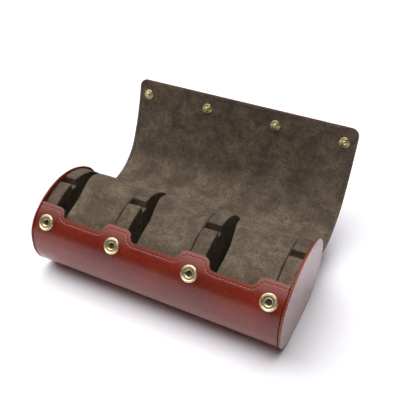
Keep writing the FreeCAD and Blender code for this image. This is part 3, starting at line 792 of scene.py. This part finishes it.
# Sub-assemblies
@dataclass
class BodyWall:
    """The curved wall: one hide over board, open over the top, its front edge scalloped and stitched."""

    finishes: Finishes
    thickness: float = 2.0
    dip_angle: float = 37.3
    tongue_flat: float = 6.0
    flank_width: float = 9.7
    flank_round: float = 5.4
    stitch_inset: float = 2.9
    groove: float = 0.22
    groove_half: float = 0.45
    seam_below_hinge: float = 4.0
    edge_rows: tuple[float, ...] = (0.0, 0.25, 0.7, 1.9, 2.4, 2.65, 2.9, 3.15, 3.4, 4.0, 4.6)
    # Row 0 takes the edge's real paint; row 5 lies in the stitch groove, where the dark edge paint is
    # painted shade.
    edge_paint_and_groove_shade_rows: tuple[int, ...] = (0, 5)
    end_gap: float = 0.3
    wall_rows: int = 83
    seam_rows: Pair = (0.2, 0.0)
    turn_points: int = 8
    flat_points: int = 6
    dip_points: int = 9
    stitch_depth: float = 0.4  # a share of the groove
    edge_roll: float = 0.18
    drill: tuple[Pair, ...] = ((0, -6), (3.4, -6), (3.4, 3), (0, 3))
    drill_turns: int = 32

    def edge_line(self, offset: float) -> list[Pair]:
        """Draws the front edge, or a line that runs beside it, seen square on.

        Args:
            offset: How far inside the edge the line runs in millimetres.

        Returns:
            Points from the left end to the right: X and the height on the leaning plane.
        """
        high = SECTION.crown_radius * math.sin(math.radians((self.dip_angle - SECTION.tongue_angle) / 2))
        flank, outer = self.flank_width, self.flank_round
        inner = (flank ** 2 + (2 * high) ** 2) / (4 * high) - outer
        swing = math.degrees(math.asin(flank / (outer + inner)))
        turns, flats = self.turn_points, self.flat_points
        line: list[Pair] = []
        left_end = self.end_gap - HALF_SPAN
        for left, right in zip(SNAP_PLACES, SNAP_PLACES[1:]):
            start, end = left + self.tongue_flat, right - self.tongue_flat
            line += [(x, high - offset) for x in np.linspace(left_end, start, flats)[:-1]]
            line += arc((start, high - outer), outer - offset, 90, 90 - swing, turns)
            line += arc((start + flank, -high + inner), inner + offset, 270 - swing, 270, turns)
            dip = np.linspace(start + flank, end - flank, self.dip_points)[1:-1]
            line += [(x, -high - offset) for x in dip]
            line += arc((end - flank, -high + inner), inner + offset, 270, 270 + swing, turns)
            line += arc((end, high - outer), outer - offset, 90 + swing, 90, turns)
            left_end = end
        last = np.linspace(left_end, HALF_SPAN - self.end_gap, flats)[1:]
        return line + [(x, high - offset) for x in last]

    def along(self, height: float) -> float:
        """The length from the top to a height on the leaning plane."""
        middle = (self.dip_angle + SECTION.tongue_angle) / 2
        return SECTION.lean_along(middle) - SECTION.crown_radius * math.asin(height / SECTION.crown_radius)

    def grid(self) -> list[list[Spot]]:
        """Lays out the hide: rows that run beside the front edge, then rows down to the back seam."""
        rows = []
        for offset in self.edge_rows:
            near = max(0.0, 1 - abs(offset - self.stitch_inset) / self.groove_half)
            rows.append([Spot(x, self.along(v), self.groove * near) for x, v in self.edge_line(offset)])
        last = rows[-1]
        end = LID_AT - self.seam_below_hinge
        for share in np.linspace(0, 1, self.wall_rows + 1)[1:-1]:
            rows.append([Spot(s.x, s.along + (end - s.along) * share) for s in last])
        return rows + [[Spot(s.x, end - back) for s in last] for back in self.seam_rows]

    def paint(self, wall: Object) -> None:
        """Gives the rows beside the front edge the edge paint: real paint at the cut edge, painted shade in
        the stitch groove.
        """
        columns = len(self.edge_line(0.0)) - 1
        for row in self.edge_paint_and_groove_shade_rows:
            for face in range(row * columns, (row + 1) * columns):
                wall.data.polygons[2 * face].material_index = 1

    def pierce(self, wall: Object) -> None:
        """Cuts a hole through the hide for each socket."""
        along = SnapSet(self.finishes).socket_along
        drills = []
        for x in SNAP_PLACES:
            place = SKIN.seat(x, along, 0, True)
            drills.append(lathe("drill", self.drill, place, turns=self.drill_turns))
            cut = wall.modifiers.new("hole", "BOOLEAN")
            cut.object = drills[-1]
            cut.solver = "EXACT"
        baked(wall)
        for drill in drills:
            bpy.data.objects.remove(drill)

    def build(self) -> None:
        """Makes the hide, pierces it for the sockets and sews its front edge."""
        wall = panel("body_hide", self.grid(), SKIN, 0.0, self.thickness, self.edge_roll)
        self.paint(wall)
        self.pierce(wall)
        dress(wall, "case", "oxblood_leather", self.finishes.leather, self.finishes.edge)
        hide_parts("body_leather", "body_board")
        line = self.edge_line(self.stitch_inset)
        track = [SKIN.place(x, self.along(v), self.groove * self.stitch_depth) for x, v in line]
        outs = [-SKIN.inward(self.along(v)) for _, v in line]
        seam = StitchLine().sew("front_edge_stitches", track, outs)
        dress(seam, "case", "oxblood_leather", self.finishes.thread)
        repaint("body_lining", self.finishes.suede_cad)


@dataclass
class EndCap:
    """An end cap: board under leather, with a sewn band round it and a softly rounded rim."""

    finishes: Finishes
    side: Side
    rim: tuple[Pair, ...] = (
        (-0.3, 2.3), (0.1, 1.7), (0.22, 0.9), (0.26, 0.45), (0.34, 0.16), (0.5, -0.06), (0.72, -0.14),
        (0.88, -0.1), (0.98, 0.04), (1.08, 0.08), (1.18, 0.04), (1.3, -0.1), (1.5, -0.12),
        (1.72, -0.02), (1.9, 0.2), (2.0, 0.5), (2.04, 0.9), (2.05, 1.6), (2.05, 2.6),
    )
    # The rim's first rings turn in toward the wall; their dark edge paint is partly the edge's own paint
    # and partly painted shade of the gap.
    edge_paint_and_gap_shade_rings: int = 3
    stations: int = 240
    stitch_x: float = 1.08
    stitch_sink: float = 0.06

    def build(self) -> None:
        """Sweeps the rim round the section, closes both faces and sews the band."""
        count = self.stations
        stations = np.linspace(0, OUTLINE.length, count, endpoint=False)
        sign = self.side.value
        points = [
            OUTLINE.place(sign * (HALF_SPAN + x), along, inset)
            for x, inset in self.rim for along in stations]
        rings = [list(range(ring * count, (ring + 1) * count)) for ring in range(len(self.rim))]
        faces = tube(rings)
        inks = [int(face < self.edge_paint_and_gap_shade_rings * count) for face in range(len(faces))]
        # The inner face takes the dark edge paint as painted shade; the outer face takes the leather.
        for end, ink in ((0, 1), (-1, 0)):
            faces += band(rings[end], [len(points)] * count)
            inks += [ink] * count
            points.append(Vector((sign * (HALF_SPAN + self.rim[end][0]), 0, SECTION.height / 2)) * MM)
        lay = [Vector((point.y, point.z, point.x)) for point in points]
        name = self.side.name.lower()
        cap = new_piece(f"{name}_cap", points, faces, sharp=60.0, lay=lay, inks=inks)
        dress(cap, "case", "oxblood_leather", self.finishes.cap_leather, self.finishes.edge)
        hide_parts(f"{name}_cap_face", f"{name}_cap_band", f"{name}_cap_board")
        closed = np.append(stations, OUTLINE.length)
        x = sign * (HALF_SPAN + self.stitch_x)
        track = [OUTLINE.place(x, along, self.stitch_sink) for along in closed]
        outs = [-OUTLINE.inward(along) for along in closed]
        seam = StitchLine(pitch=2.4, length=1.9, radius=0.26).sew(f"{name}_cap_stitches", track, outs)
        dress(seam, "case", "oxblood_leather", self.finishes.thread)


@dataclass
class Divider:
    """An upright board wrapped in suede, with a strap notch in its top."""

    finishes: Finishes
    number: int
    # How deep its free top lies under the case's outline, by how far the crown leans forward
    crown: tuple[Pair, ...] = (
        (-50.0, 2.6), (-38.0, 1.5), (-26.0, 0.5), (-12.0, 0.6), (-4.0, 1.1), (2.0, 1.7), (10.0, 2.2),
        (18.0, 2.6), (26.0, 3.1), (30.0, 3.2),
    )
    wall: float = 2.6
    # The lid's inside stitches pass over the two outer dividers
    outer_drop: float = 0.35
    notch_half: float = 2.5
    notch_depth: float = 6.0
    notch_top: float = 1.4
    wall_blend: float = 1.2
    edge: float = 0.75
    step: float = 1.0

    def outline(self) -> list[Vector]:
        """Lists the slab's outline in Y and Z, the notch included."""
        tip = SECTION.lean_along(SECTION.tongue_angle)
        points = []
        for along in np.arange(0, OUTLINE.length, self.step):
            free = read(self.crown, lean_at(along))
            free += self.outer_drop if self.number in (1, 4) else 0.0
            in_front = min(max((along - tip) / self.wall_blend + 1, 0), 1)
            in_wall = in_front * min(max((SECTION.hinge_along - along) / self.wall_blend + 1, 0), 1)
            point = OUTLINE.place(0, along, free + (max(self.wall, free) - free) * in_wall)
            if not (abs(point.y) < self.notch_half * MM and point.z > SECTION.height / 2 * MM):
                points.append(point)
        low = (SECTION.height - self.notch_top - self.notch_depth) * MM
        half = self.notch_half * MM
        return [Vector((0, -half, low)), *points, Vector((0, half, low))]

    def build(self) -> None:
        """Extrudes the slab and rounds its edges as wrapped suede does."""
        name = f"divider_{self.number}"
        low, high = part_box(f"{name}_cover")
        loop = self.outline()
        count = len(loop)
        points = [Vector((x, p.y, p.z)) for x in (low.x, high.x) for p in loop]
        faces = [list(range(count)), list(range(2 * count - 1, count - 1, -1))]
        faces += band(range(count), range(count, 2 * count))
        slab = new_piece(name, points, faces)
        bevel = slab.modifiers.new("wrapped edge", "BEVEL")
        bevel.width = self.edge * MM
        bevel.segments = 3
        bevel.limit_method = "ANGLE"
        bevel.angle_limit = math.radians(40)
        bevel.harden_normals = True
        dress(slab, "case", "taupe_suede", self.finishes.suede)
        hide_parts(f"{name}_cover", f"{name}_core")


@dataclass
class Cushion:
    """A watch cushion: soft foam in a suede cover, crowned, its ends drawn in."""

    finishes: Finishes
    name: str
    wall: float = 2.8
    crown_drop: float = 1.6
    side_lean: float = 36.0
    # How deep the left end's skin lies under the case's outline, by how far the crown leans forward
    crown: tuple[Pair, ...] = (
        (-42.0, 2.8), (-34.0, 1.2), (-26.0, 0.2), (-16.0, 0.0), (-8.0, 0.5), (0.0, 1.9), (8.0, 3.5),
        (16.0, 4.9), (24.0, 5.0), (32.0, 3.8), (42.0, 2.8),
    )
    # How far the left end reaches out to the left, by the same lean
    reach: tuple[Pair, ...] = (
        (-60.0, 0.0), (-48.0, 1.5), (-36.0, 3.5), (-24.0, 4.4), (-14.0, 3.8), (-6.0, 2.2), (0.0, 1.3),
        (10.0, 0.2), (20.0, 0.0),
    )
    right_end: float = 0.45
    way: float = 35.0
    soft_edge: float = 1.5
    swell: float = 0.35
    stations: int = 30
    steps: int = 120
    end_rings: tuple[float, ...] = (0.85, 0.62, 0.36)
    frames: int = 20
    quality: int = 5
    pressure: float = 2.5
    most: float = 0.7
    least: float = 0.12
    free_from: Pair = (50.0, 58.0)

    def inset(self, along: float, share: float) -> float:
        """How far inside the case's section the skin lies.

        Args:
            along: The length round the section from the top.
            share: How far along the cushion, from 0 at its left end to 1.

        Returns:
            The depth in millimetres.
        """
        lean = lean_at(along)
        deep = read(self.crown, lean)
        level = self.crown_drop + (self.wall - self.crown_drop) * min(1.0, (lean / self.side_lean) ** 2)
        return deep + (level - deep) * share * (1 - self.right_end)

    def ring(self, x: float, draw: float, share: float) -> list[Vector]:
        """Lists one closed ring of the cushion's skin at a station, drawn in by a length."""
        hinge_y, hinge_z = SECTION.hinge
        slope = math.tan(math.radians(self.way))
        points = []
        for along in np.linspace(0, OUTLINE.length, self.steps, endpoint=False):
            out = read(self.reach, lean_at(along)) * (1 - share)
            point = OUTLINE.place(x - out, along, self.inset(along, share) + draw)
            way_z = hinge_z + (point.y / MM - hinge_y + self.wall) * slope + draw
            if point.y > 0 and point.z / MM < hinge_z:
                point.z = max(point.z, way_z * MM)
            points.append(point)
        return points

    def build(self) -> None:
        """Builds the skin ring by ring, closes its ends and lets the foam swell it."""
        low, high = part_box(f"{self.name}_cushion_cover")
        width = (high.x - low.x) / MM
        middle = (high.x + low.x) / 2 / MM
        points: list[Vector] = []
        shares = [0.5 - 0.5 * math.cos(math.pi * i / (self.stations - 1)) for i in range(self.stations)]
        for share in shares:
            from_end = min(share, 1 - share) * width
            near = max(0.0, 1 - from_end / self.soft_edge)
            rounding = self.soft_edge * (1 - math.sqrt(max(0.0, 1 - near ** 2)))
            swell = self.swell * (1 - math.sin(math.pi * share))
            points += self.ring(middle + (share - 0.5) * width, rounding + swell, share)
        count = self.steps
        rings = [list(range(ring * count, (ring + 1) * count)) for ring in range(self.stations)]
        faces = tube(rings)
        for rim in (rings[0], rings[-1]):
            self.close_end(points, faces, rim)
        piece = new_piece(f"{self.name}_cushion", points, faces, sharp=80.0)
        self.puff(piece)
        dress(piece, f"{self.name}_cushion", "taupe_suede", self.finishes.suede)
        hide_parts(f"{self.name}_cushion_cover", f"{self.name}_cushion_foam")

    def puff(self, piece: Object) -> None:
        """Lets the foam push the cover out in a short cloth run, and caps how far each point moves.

        Args:
            piece: The cushion's skin.
        """
        mesh = piece.data
        before = np.array([tuple(v.co) for v in mesh.vertices])
        cover = piece.modifiers.new("cover", "CLOTH")
        cover.settings.quality = self.quality
        cover.settings.use_pressure = True
        cover.settings.uniform_pressure_force = self.pressure
        cover.settings.effector_weights.gravity = 0.0
        cover.point_cache.frame_end = self.frames
        for step in range(1, self.frames + 1):
            bpy.context.scene.frame_set(step)
        graph = bpy.context.evaluated_depsgraph_get()
        swollen = piece.evaluated_get(graph).to_mesh()
        move = np.array([tuple(v.co) for v in swollen.vertices]) - before
        piece.evaluated_get(graph).to_mesh_clear()
        piece.modifiers.remove(cover)
        bpy.context.scene.frame_set(1)
        # Only the crown has room to swell: elsewhere the wall, the dividers and the floor hold the cover
        low, high = self.free_from
        free = np.clip((before[:, 2] / MM - low) / (high - low), 0, 1)
        most = (self.least + (self.most - self.least) * free) * MM
        far = np.linalg.norm(move, axis=1)
        log.info("%s: the cover moved up to %.2f mm in the cloth run", piece.name, far.max() / MM)
        after = before + move * (np.minimum(far, most) / np.maximum(far, 1e-9))[:, None]
        mesh.vertices.foreach_set("co", after.astype(np.float32).ravel())
        mesh.update()

    def close_end(self, points: list[Vector], faces: list[list[int]], before: list[int]) -> None:
        """Closes an end with rings that shrink to its middle.

        Args:
            points: The vertices so far, which grow.
            faces: The faces so far, which grow.
            before: The end's own ring.
        """
        rim = [points[number].copy() for number in before]
        hub = sum(rim, Vector()) / len(rim)
        for share in self.end_rings:
            now = list(range(len(points), len(points) + len(rim)))
            points += [hub + (p - hub) * share for p in rim]
            faces += band(before, now)
            before = now
        faces += band(before, [len(points)] * len(rim))
        points.append(hub)


@dataclass(frozen=True)
class Stretch:
    """One stretch of the lid between two bodies, in millimetres along the lid."""

    name: str
    start: float
    end: float
    first_body: str
    second_body: str
    bend_start: float
    bend_end: float

    @property
    def last(self) -> bool:
        """Whether the stretch ends in the lid's free edge."""
        return self.end == SECTION.lid_length


@dataclass
class Lid:
    """The lid: leather outside, suede inside, sewn round its border, in three stretches."""

    finishes: Finishes
    half: float = 98.0
    corner: float = 6.5
    leather: Pair = (0.0, 1.25)
    suede: Pair = (1.25, 2.2)
    suede_shy: float = 0.45
    roll: float = 0.12
    columns: int = 61
    row_step: float = 1.6
    least_rows: int = 8
    end_step: float = 0.2
    fold_step: float = 0.45
    fold_rest: float = 0.3
    stitch_inset: float = 3.0
    stitch_sink: float = 0.12
    stitch_start: float = 11.0
    side_points: int = 30
    # The fold of the suede over the back wall: Y and Z from the hinge line, then lengths along the lid
    lead: tuple[Pair, ...] = (
        (-2.75, -5.0), (-2.55, -1.0), (-2.3, 0.7), (-1.3, 2.0), (0.1, 2.45), (1.6, 1.9))
    tail: tuple[float, ...] = (3.4, 5.0, 6.5, 8.0, 9.4, 10.0)
    stretches: tuple[Stretch, ...] = (
        Stretch("root", -4.0, 10.0, "case", "lid_root", 0.0, 0.0),
        Stretch("crown", 10.0, 60.0, "lid_root", "lid_crown", 16.0, 24.0),
        Stretch("front", 60.0, 126.0, "lid_crown", "lid_front", 94.0, 106.0),
    )
    hinge_bend: Pair = (42.3, 47.0)

    def half_at(self, along: float, shy: float) -> float:
        """Half the lid's width at a length from the hinge, inside its rounded corners."""
        radius = max(self.corner - shy, 0.1)
        past = along - (SECTION.lid_length - shy - radius)
        if past <= 0:
            return self.half - shy
        return self.half - shy - radius + math.sqrt(max(radius ** 2 - past ** 2, 0.0))

    def rows(self, stretch: Stretch, start: float, shy: float) -> list[float]:
        """Lists the lengths of a stretch's rows, close together at its ends and in its corners."""
        last = stretch.end - (shy if stretch.last else 0.0)
        count = max(self.least_rows, int((last - start) / self.row_step))
        lengths = [start, start + self.end_step, *np.linspace(start, last, count)[1:-1]]
        if stretch.last:
            radius = self.corner - shy
            lengths = [v for v in lengths if v < last - radius]
            lengths += [last - radius + radius * math.sin(math.radians(a)) for a in range(0, 91, 9)]
        else:
            lengths += [last - self.end_step, last]
        return sorted(set(round(v, 5) for v in lengths))

    def bend(self, piece: Object, stretch: Stretch) -> None:
        """Works out where a stretch's bend starts and ends, which goes unused, and bakes the piece's
        placement into its mesh.
        """
        if stretch.name == "root":
            hinge_z = SECTION.hinge[1]
            start, end = (Vector((0, y, hinge_z)) * MM for y in self.hinge_bend)
        else:
            start, end = (SKIN.place(0, LID_AT + v) for v in (stretch.bend_start, stretch.bend_end))
        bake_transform(piece)

    def sheet(self, stretch: Stretch, layer: str, depths: Pair, shy: float) -> Object:
        """Makes one layer of one stretch."""
        grid = [
            [Spot(self.half_at(v, shy) * share, LID_AT + v) for share in np.linspace(-1, 1, self.columns)]
            for v in self.rows(stretch, stretch.start, shy)
        ]
        return panel(f"lid_{stretch.name}_{layer}", grid, SKIN, *depths, self.roll)

    def build(self) -> None:
        """Makes both layers of the three stretches, the suede fold over the hinge and the stitch lines."""
        for stretch in self.stretches:
            hide = self.sheet(stretch, "hide", self.leather, 0.0)
            dress(hide, None, "oxblood_leather", self.finishes.leather, self.finishes.edge)
            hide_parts(*[f"lid_{stretch.name}_{layer}" for layer in ("leather", "board")])
            self.bend(hide, stretch)
            root = stretch.name == "root"
            nap = self.fold_over() if root else self.sheet(stretch, "suede", self.suede, self.suede_shy)
            dress(nap, None, "taupe_suede", self.finishes.suede, self.finishes.edge)
            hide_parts(f"lid_{stretch.name}_lining")
            self.bend(nap, stretch)
            for face in Face:
                self.stitch(stretch, face)

    def fold_over(self) -> Object:
        """Makes the suede that comes up inside the back wall and folds over it onto the lid."""
        hinge_y, hinge_z = SECTION.hinge
        lead = [(hinge_y + y, hinge_z + z) for y, z in self.lead]
        tail = [tuple(SKIN.place(0, LID_AT + v, self.suede[1]).yz / MM) for v in self.tail]
        path = Profile.through(smooth_path([*lead, *tail]))
        end = path.length
        rows = [*np.arange(0, end - self.fold_rest, self.fold_step), end - self.end_step, end]
        half = self.half - self.suede_shy
        grid = [[Spot(half * share, v) for share in np.linspace(-1, 1, self.columns)] for v in rows]
        return panel("lid_root_suede", grid, path, self.suede[0] - self.suede[1], 0.0, self.roll)

    def stitch(self, stretch: Stretch, face: Face) -> None:
        """Sews one stretch's part of the border on one face."""
        inset = self.stitch_inset
        depth = self.leather[0] if face is Face.OUTSIDE else self.suede[1] - self.stitch_sink
        begin = max(stretch.start, self.stitch_start)
        if begin >= stretch.end:
            return
        if stretch.last:
            side = [(self.half_at(v, inset), v) for v in self.rows(stretch, begin, inset)]
            lines = [[(-x, v) for x, v in side] + [(x, v) for x, v in reversed(side)]]
        else:
            lengths = np.linspace(begin, stretch.end, self.side_points)
            lines = [[(sign * (self.half - inset), v) for v in lengths] for sign in (-1, 1)]
        for number, line in enumerate(lines, start=1):
            track = [SKIN.place(x, LID_AT + v, depth) for x, v in line]
            turn = -1 if face is Face.OUTSIDE else 1
            outs = [SKIN.inward(LID_AT + v) * turn for _, v in line]
            name = f"lid_{stretch.name}_{face.value}_stitches_{number}"
            seam = StitchLine(radius=0.26).sew(name, track, outs)
            thread = self.finishes.thread if face is Face.OUTSIDE else self.finishes.dark_thread
            dress(seam, None, "oxblood_leather" if face is Face.OUTSIDE else "taupe_suede", thread)
            self.bend(seam, stretch)


def smooth_path(knots: Sequence[Pair], step: int = 8) -> list[Pair]:
    """Runs a smooth curve through a few knots.

    Args:
        knots: The points that it passes.
        step: How many points it gets between two knots.

    Returns:
        Close points of the curve.
    """
    ends = [knots[0], *knots, knots[-1]]
    curve = []
    for a, b, c, d in zip(ends, ends[1:], ends[2:], ends[3:]):
        for t in np.linspace(0, 1, step, endpoint=False):
            curve.append(tuple(
                0.5 * (2 * q + (r - p) * t + (2 * p - 5 * q + 4 * r - s) * t ** 2
                       + (3 * q - p - 3 * r + s) * t ** 3)
                for p, q, r, s in zip(a, b, c, d)))
    return [*curve, tuple(knots[-1])]


@dataclass
class SnapSet:
    """Four press studs: sockets on the front wall, studs and their outer caps on the lid."""

    finishes: Finishes
    snap_angle: float = 49.2
    stud_setback: float = 12.4
    lid_wall: float = 2.2
    socket: tuple[Pair, ...] = (
        (2.35, 0.3), (3.0, 0.25), (3.05, -1.45), (3.45, -1.45), (3.5, -0.4), (5.9, -0.62), (6.08, -0.3),
        (6.12, 0.2), (6.06, 0.55), (5.9, 0.85), (5.6, 1.06), (5.25, 1.14), (4.95, 1.08), (4.75, 0.92),
        (4.6, 0.82), (4.2, 0.78), (3.4, 0.76), (2.9, 0.72), (2.55, 0.6), (2.38, 0.45),
    )
    stud: tuple[Pair, ...] = (
        (0, -0.4), (1.3, -0.4), (1.4, -0.05), (4.1, -0.1), (4.28, 0.12), (4.28, 0.4), (4.1, 0.68),
        (3.7, 0.84), (3.3, 0.8), (2.9, 0.62), (2.3, 0.56), (1.75, 0.62), (1.45, 0.8), (1.38, 1.15),
        (1.5, 1.5), (1.75, 1.8), (1.84, 2.15), (1.78, 2.5), (1.55, 2.85), (1.2, 3.08), (0.85, 3.18),
        (0.5, 3.16), (0, 3.1),
    )
    cap: tuple[Pair, ...] = (
        (0, -0.2), (5.9, -0.2), (6.15, 0.1), (6.2, 0.45), (6.05, 0.75), (5.6, 1.02), (4.8, 1.26),
        (3.6, 1.44), (2.4, 1.54), (1.2, 1.59), (0, 1.6),
    )

    @property
    def socket_along(self) -> float:
        """The length from the top to the sockets."""
        past = math.radians(self.snap_angle - SECTION.crown_lean)
        return SECTION.lean_along(SECTION.crown_lean) + SECTION.shoulder_radius * past

    def build(self) -> None:
        """Makes every socket, stud and cap, and gives the hidden pieces their metal."""
        at = LID_AT + SECTION.lid_length - self.stud_setback
        for number, x in enumerate(SNAP_PLACES, start=1):
            brass, stud_brass = self.finishes.brass, self.finishes.stud_brass
            socket = SKIN.seat(x, self.socket_along, 0, True)
            stud = SKIN.seat(x, at, self.lid_wall, False)
            cap = SKIN.seat(x, at, 0, True)
            rows = (
                ("snap_socket", self.socket, socket, "case", "snap_sockets", brass),
                ("snap_stud", self.stud, stud, "lid_front", "snap_studs", stud_brass),
                ("snap_cap", self.cap, cap, "lid_front", "snap_caps", stud_brass),
            )
            for name, outline, place, body, node, metal in rows:
                piece = lathe(f"{name}_{number}", outline, place)
                dress(piece, body, "brass", metal)
                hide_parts(node)
        repaint("socket_springs", self.finishes.bronze)
        repaint("socket_eyelets", self.finishes.brass)


@dataclass
class Studio:
    """A plain pale floor, soft light from above and the camera of the photograph."""

    azimuth: float = 26.75
    elevation: float = 37.71
    distance: float = 450.1
    aim: tuple[float, float, float] = (9.1, 22.8, 64.0)
    focal_pixels: float = 609.8
    picture: float = 400.0
    sensor: float = 36.0
    floor_half: float = 6.0
    floor_colour: str = "#f4f3f7"
    floor_seen: str = "#fafaff"
    floor_lift: float = 1.16
    tent_axis: tuple[float, float, float] = (-0.2, 0.06, 0.978)
    tent: Pair = (0.02, 3.6)
    tent_span: Pair = (0.7, 0.99)
    haze: float = 0.3
    haze_span: Pair = (0.04, 0.07)
    key_place: tuple[float, float, float] = (-1.1, -0.1, 0.8)
    key_aim: tuple[float, float, float] = (0.0, 0.03, 0.04)
    key_size: float = 0.5
    key_power: float = 3.0

    def camera(self) -> None:
        """Sets the camera at the photograph's viewing angle."""
        turn, rise = math.radians(self.azimuth), math.radians(self.elevation)
        back = Vector((math.sin(turn) * math.cos(rise), -math.cos(turn) * math.cos(rise), math.sin(rise)))
        right = Vector((math.cos(turn), math.sin(turn), 0))
        data = bpy.data.cameras.new("camera")
        data.sensor_width = self.sensor
        data.lens = self.focal_pixels / self.picture * self.sensor
        camera = bpy.data.objects.new("camera", data)
        camera.matrix_world = stand((Vector(self.aim) + back * self.distance) * MM, right, back)
        bpy.context.scene.collection.objects.link(camera)
        bpy.context.scene.camera = camera

    def key(self) -> None:
        """Hangs a square soft lamp to the left, which faces the case."""
        data = bpy.data.lights.new("key", "AREA")
        data.size = self.key_size
        data.energy = self.key_power
        lamp = bpy.data.objects.new("key", data)
        lamp.location = self.key_place
        way = Vector(self.key_aim) - Vector(self.key_place)
        lamp.rotation_euler = way.to_track_quat("-Z", "Y").to_euler()
        bpy.context.scene.collection.objects.link(lamp)

    def floor(self) -> None:
        """Lays the paper, which is seen a little over its own white and keeps its shadows."""
        half = self.floor_half
        corners = [Vector((x * half, y * half, 0)) for x, y in ((-1, -1), (1, -1), (1, 1), (-1, 1))]
        floor = new_piece("floor", corners, [[0, 1, 2, 3]])
        material, tree, _ = new_finish("Seamless white paper", laid=False)
        set_shader(material, Base_Color=linear(self.floor_colour), Roughness=0.95, Specular_IOR_Level=0.1)
        lifted = [c * self.floor_lift for c in linear(self.floor_seen)[:3]]
        seen = add_node(tree, "ShaderNodeBsdfDiffuse", None, {"Color": (*lifted, 1.0)})
        rays = add_node(tree, "ShaderNodeLightPath")
        either: Any = 0.0
        for ray in ("Is Camera Ray", "Is Glossy Ray", "Is Transmission Ray"):
            either = add_node(tree, "ShaderNodeMath", {"operation": "MAXIMUM"}, {
                0: either, 1: rays.outputs[ray]})
        paper = add_node(tree, "ShaderNodeMixShader", None, {
            0: either, 1: tree.nodes["Principled BSDF"], 2: seen})
        tree.links.new(paper.outputs[0], tree.nodes["Material Output"].inputs["Surface"])
        floor.data.materials.append(material)

    def sky(self) -> None:
        """Lights the world as a tent, brightest overhead, with a faint haze above the floor's end."""
        world = bpy.data.worlds.new("studio")
        world.use_nodes = True
        bpy.context.scene.world = world
        tree = world.node_tree
        way = add_node(tree, "ShaderNodeTexCoord").outputs["Generated"]
        upright = add_node(tree, "ShaderNodeVectorMath", {"operation": "DOT_PRODUCT"}, {
            0: way, 1: self.tent_axis})
        height = add_node(tree, "ShaderNodeSeparateXYZ", None, {0: way})
        ramps = []
        for value, (low, high), (start, end) in (
                (upright.outputs["Value"], self.tent_span, self.tent),
                (height.outputs["Z"], self.haze_span, (self.haze, 0.0))):
            ramps.append(add_node(tree, "ShaderNodeMapRange", {"interpolation_type": "SMOOTHSTEP"}, {
                "Value": value, "From Min": low, "From Max": high, "To Min": start, "To Max": end}))
        light = add_node(tree, "ShaderNodeMath", {"operation": "MAXIMUM"}, {0: ramps[0], 1: ramps[1]})
        tree.nodes["Background"].inputs["Color"].default_value = linear("#ffffff")
        tree.links.new(light.outputs[0], tree.nodes["Background"].inputs["Strength"])

    def build(self) -> None:
        """Lays the floor, lights it and sets the camera."""
        bpy.context.scene.view_settings.view_transform = "Standard"
        self.floor()
        self.sky()
        self.key()
        self.camera()


def main() -> None:
    """Builds the studio and every sub-assembly."""
    logging.basicConfig(level=logging.INFO, format="%(name)s: %(message)s")
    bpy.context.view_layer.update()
    Studio().build()
    finishes = Finishes()
    BodyWall(finishes).build()
    for side in Side:
        EndCap(finishes, side).build()
    for number in range(1, 5):
        Divider(finishes, number).build()
    for name in ("left", "middle", "right"):
        Cushion(finishes, name).build()
    Lid(finishes).build()
    SnapSet(finishes).build()


if __name__ == "__main__":
    main()
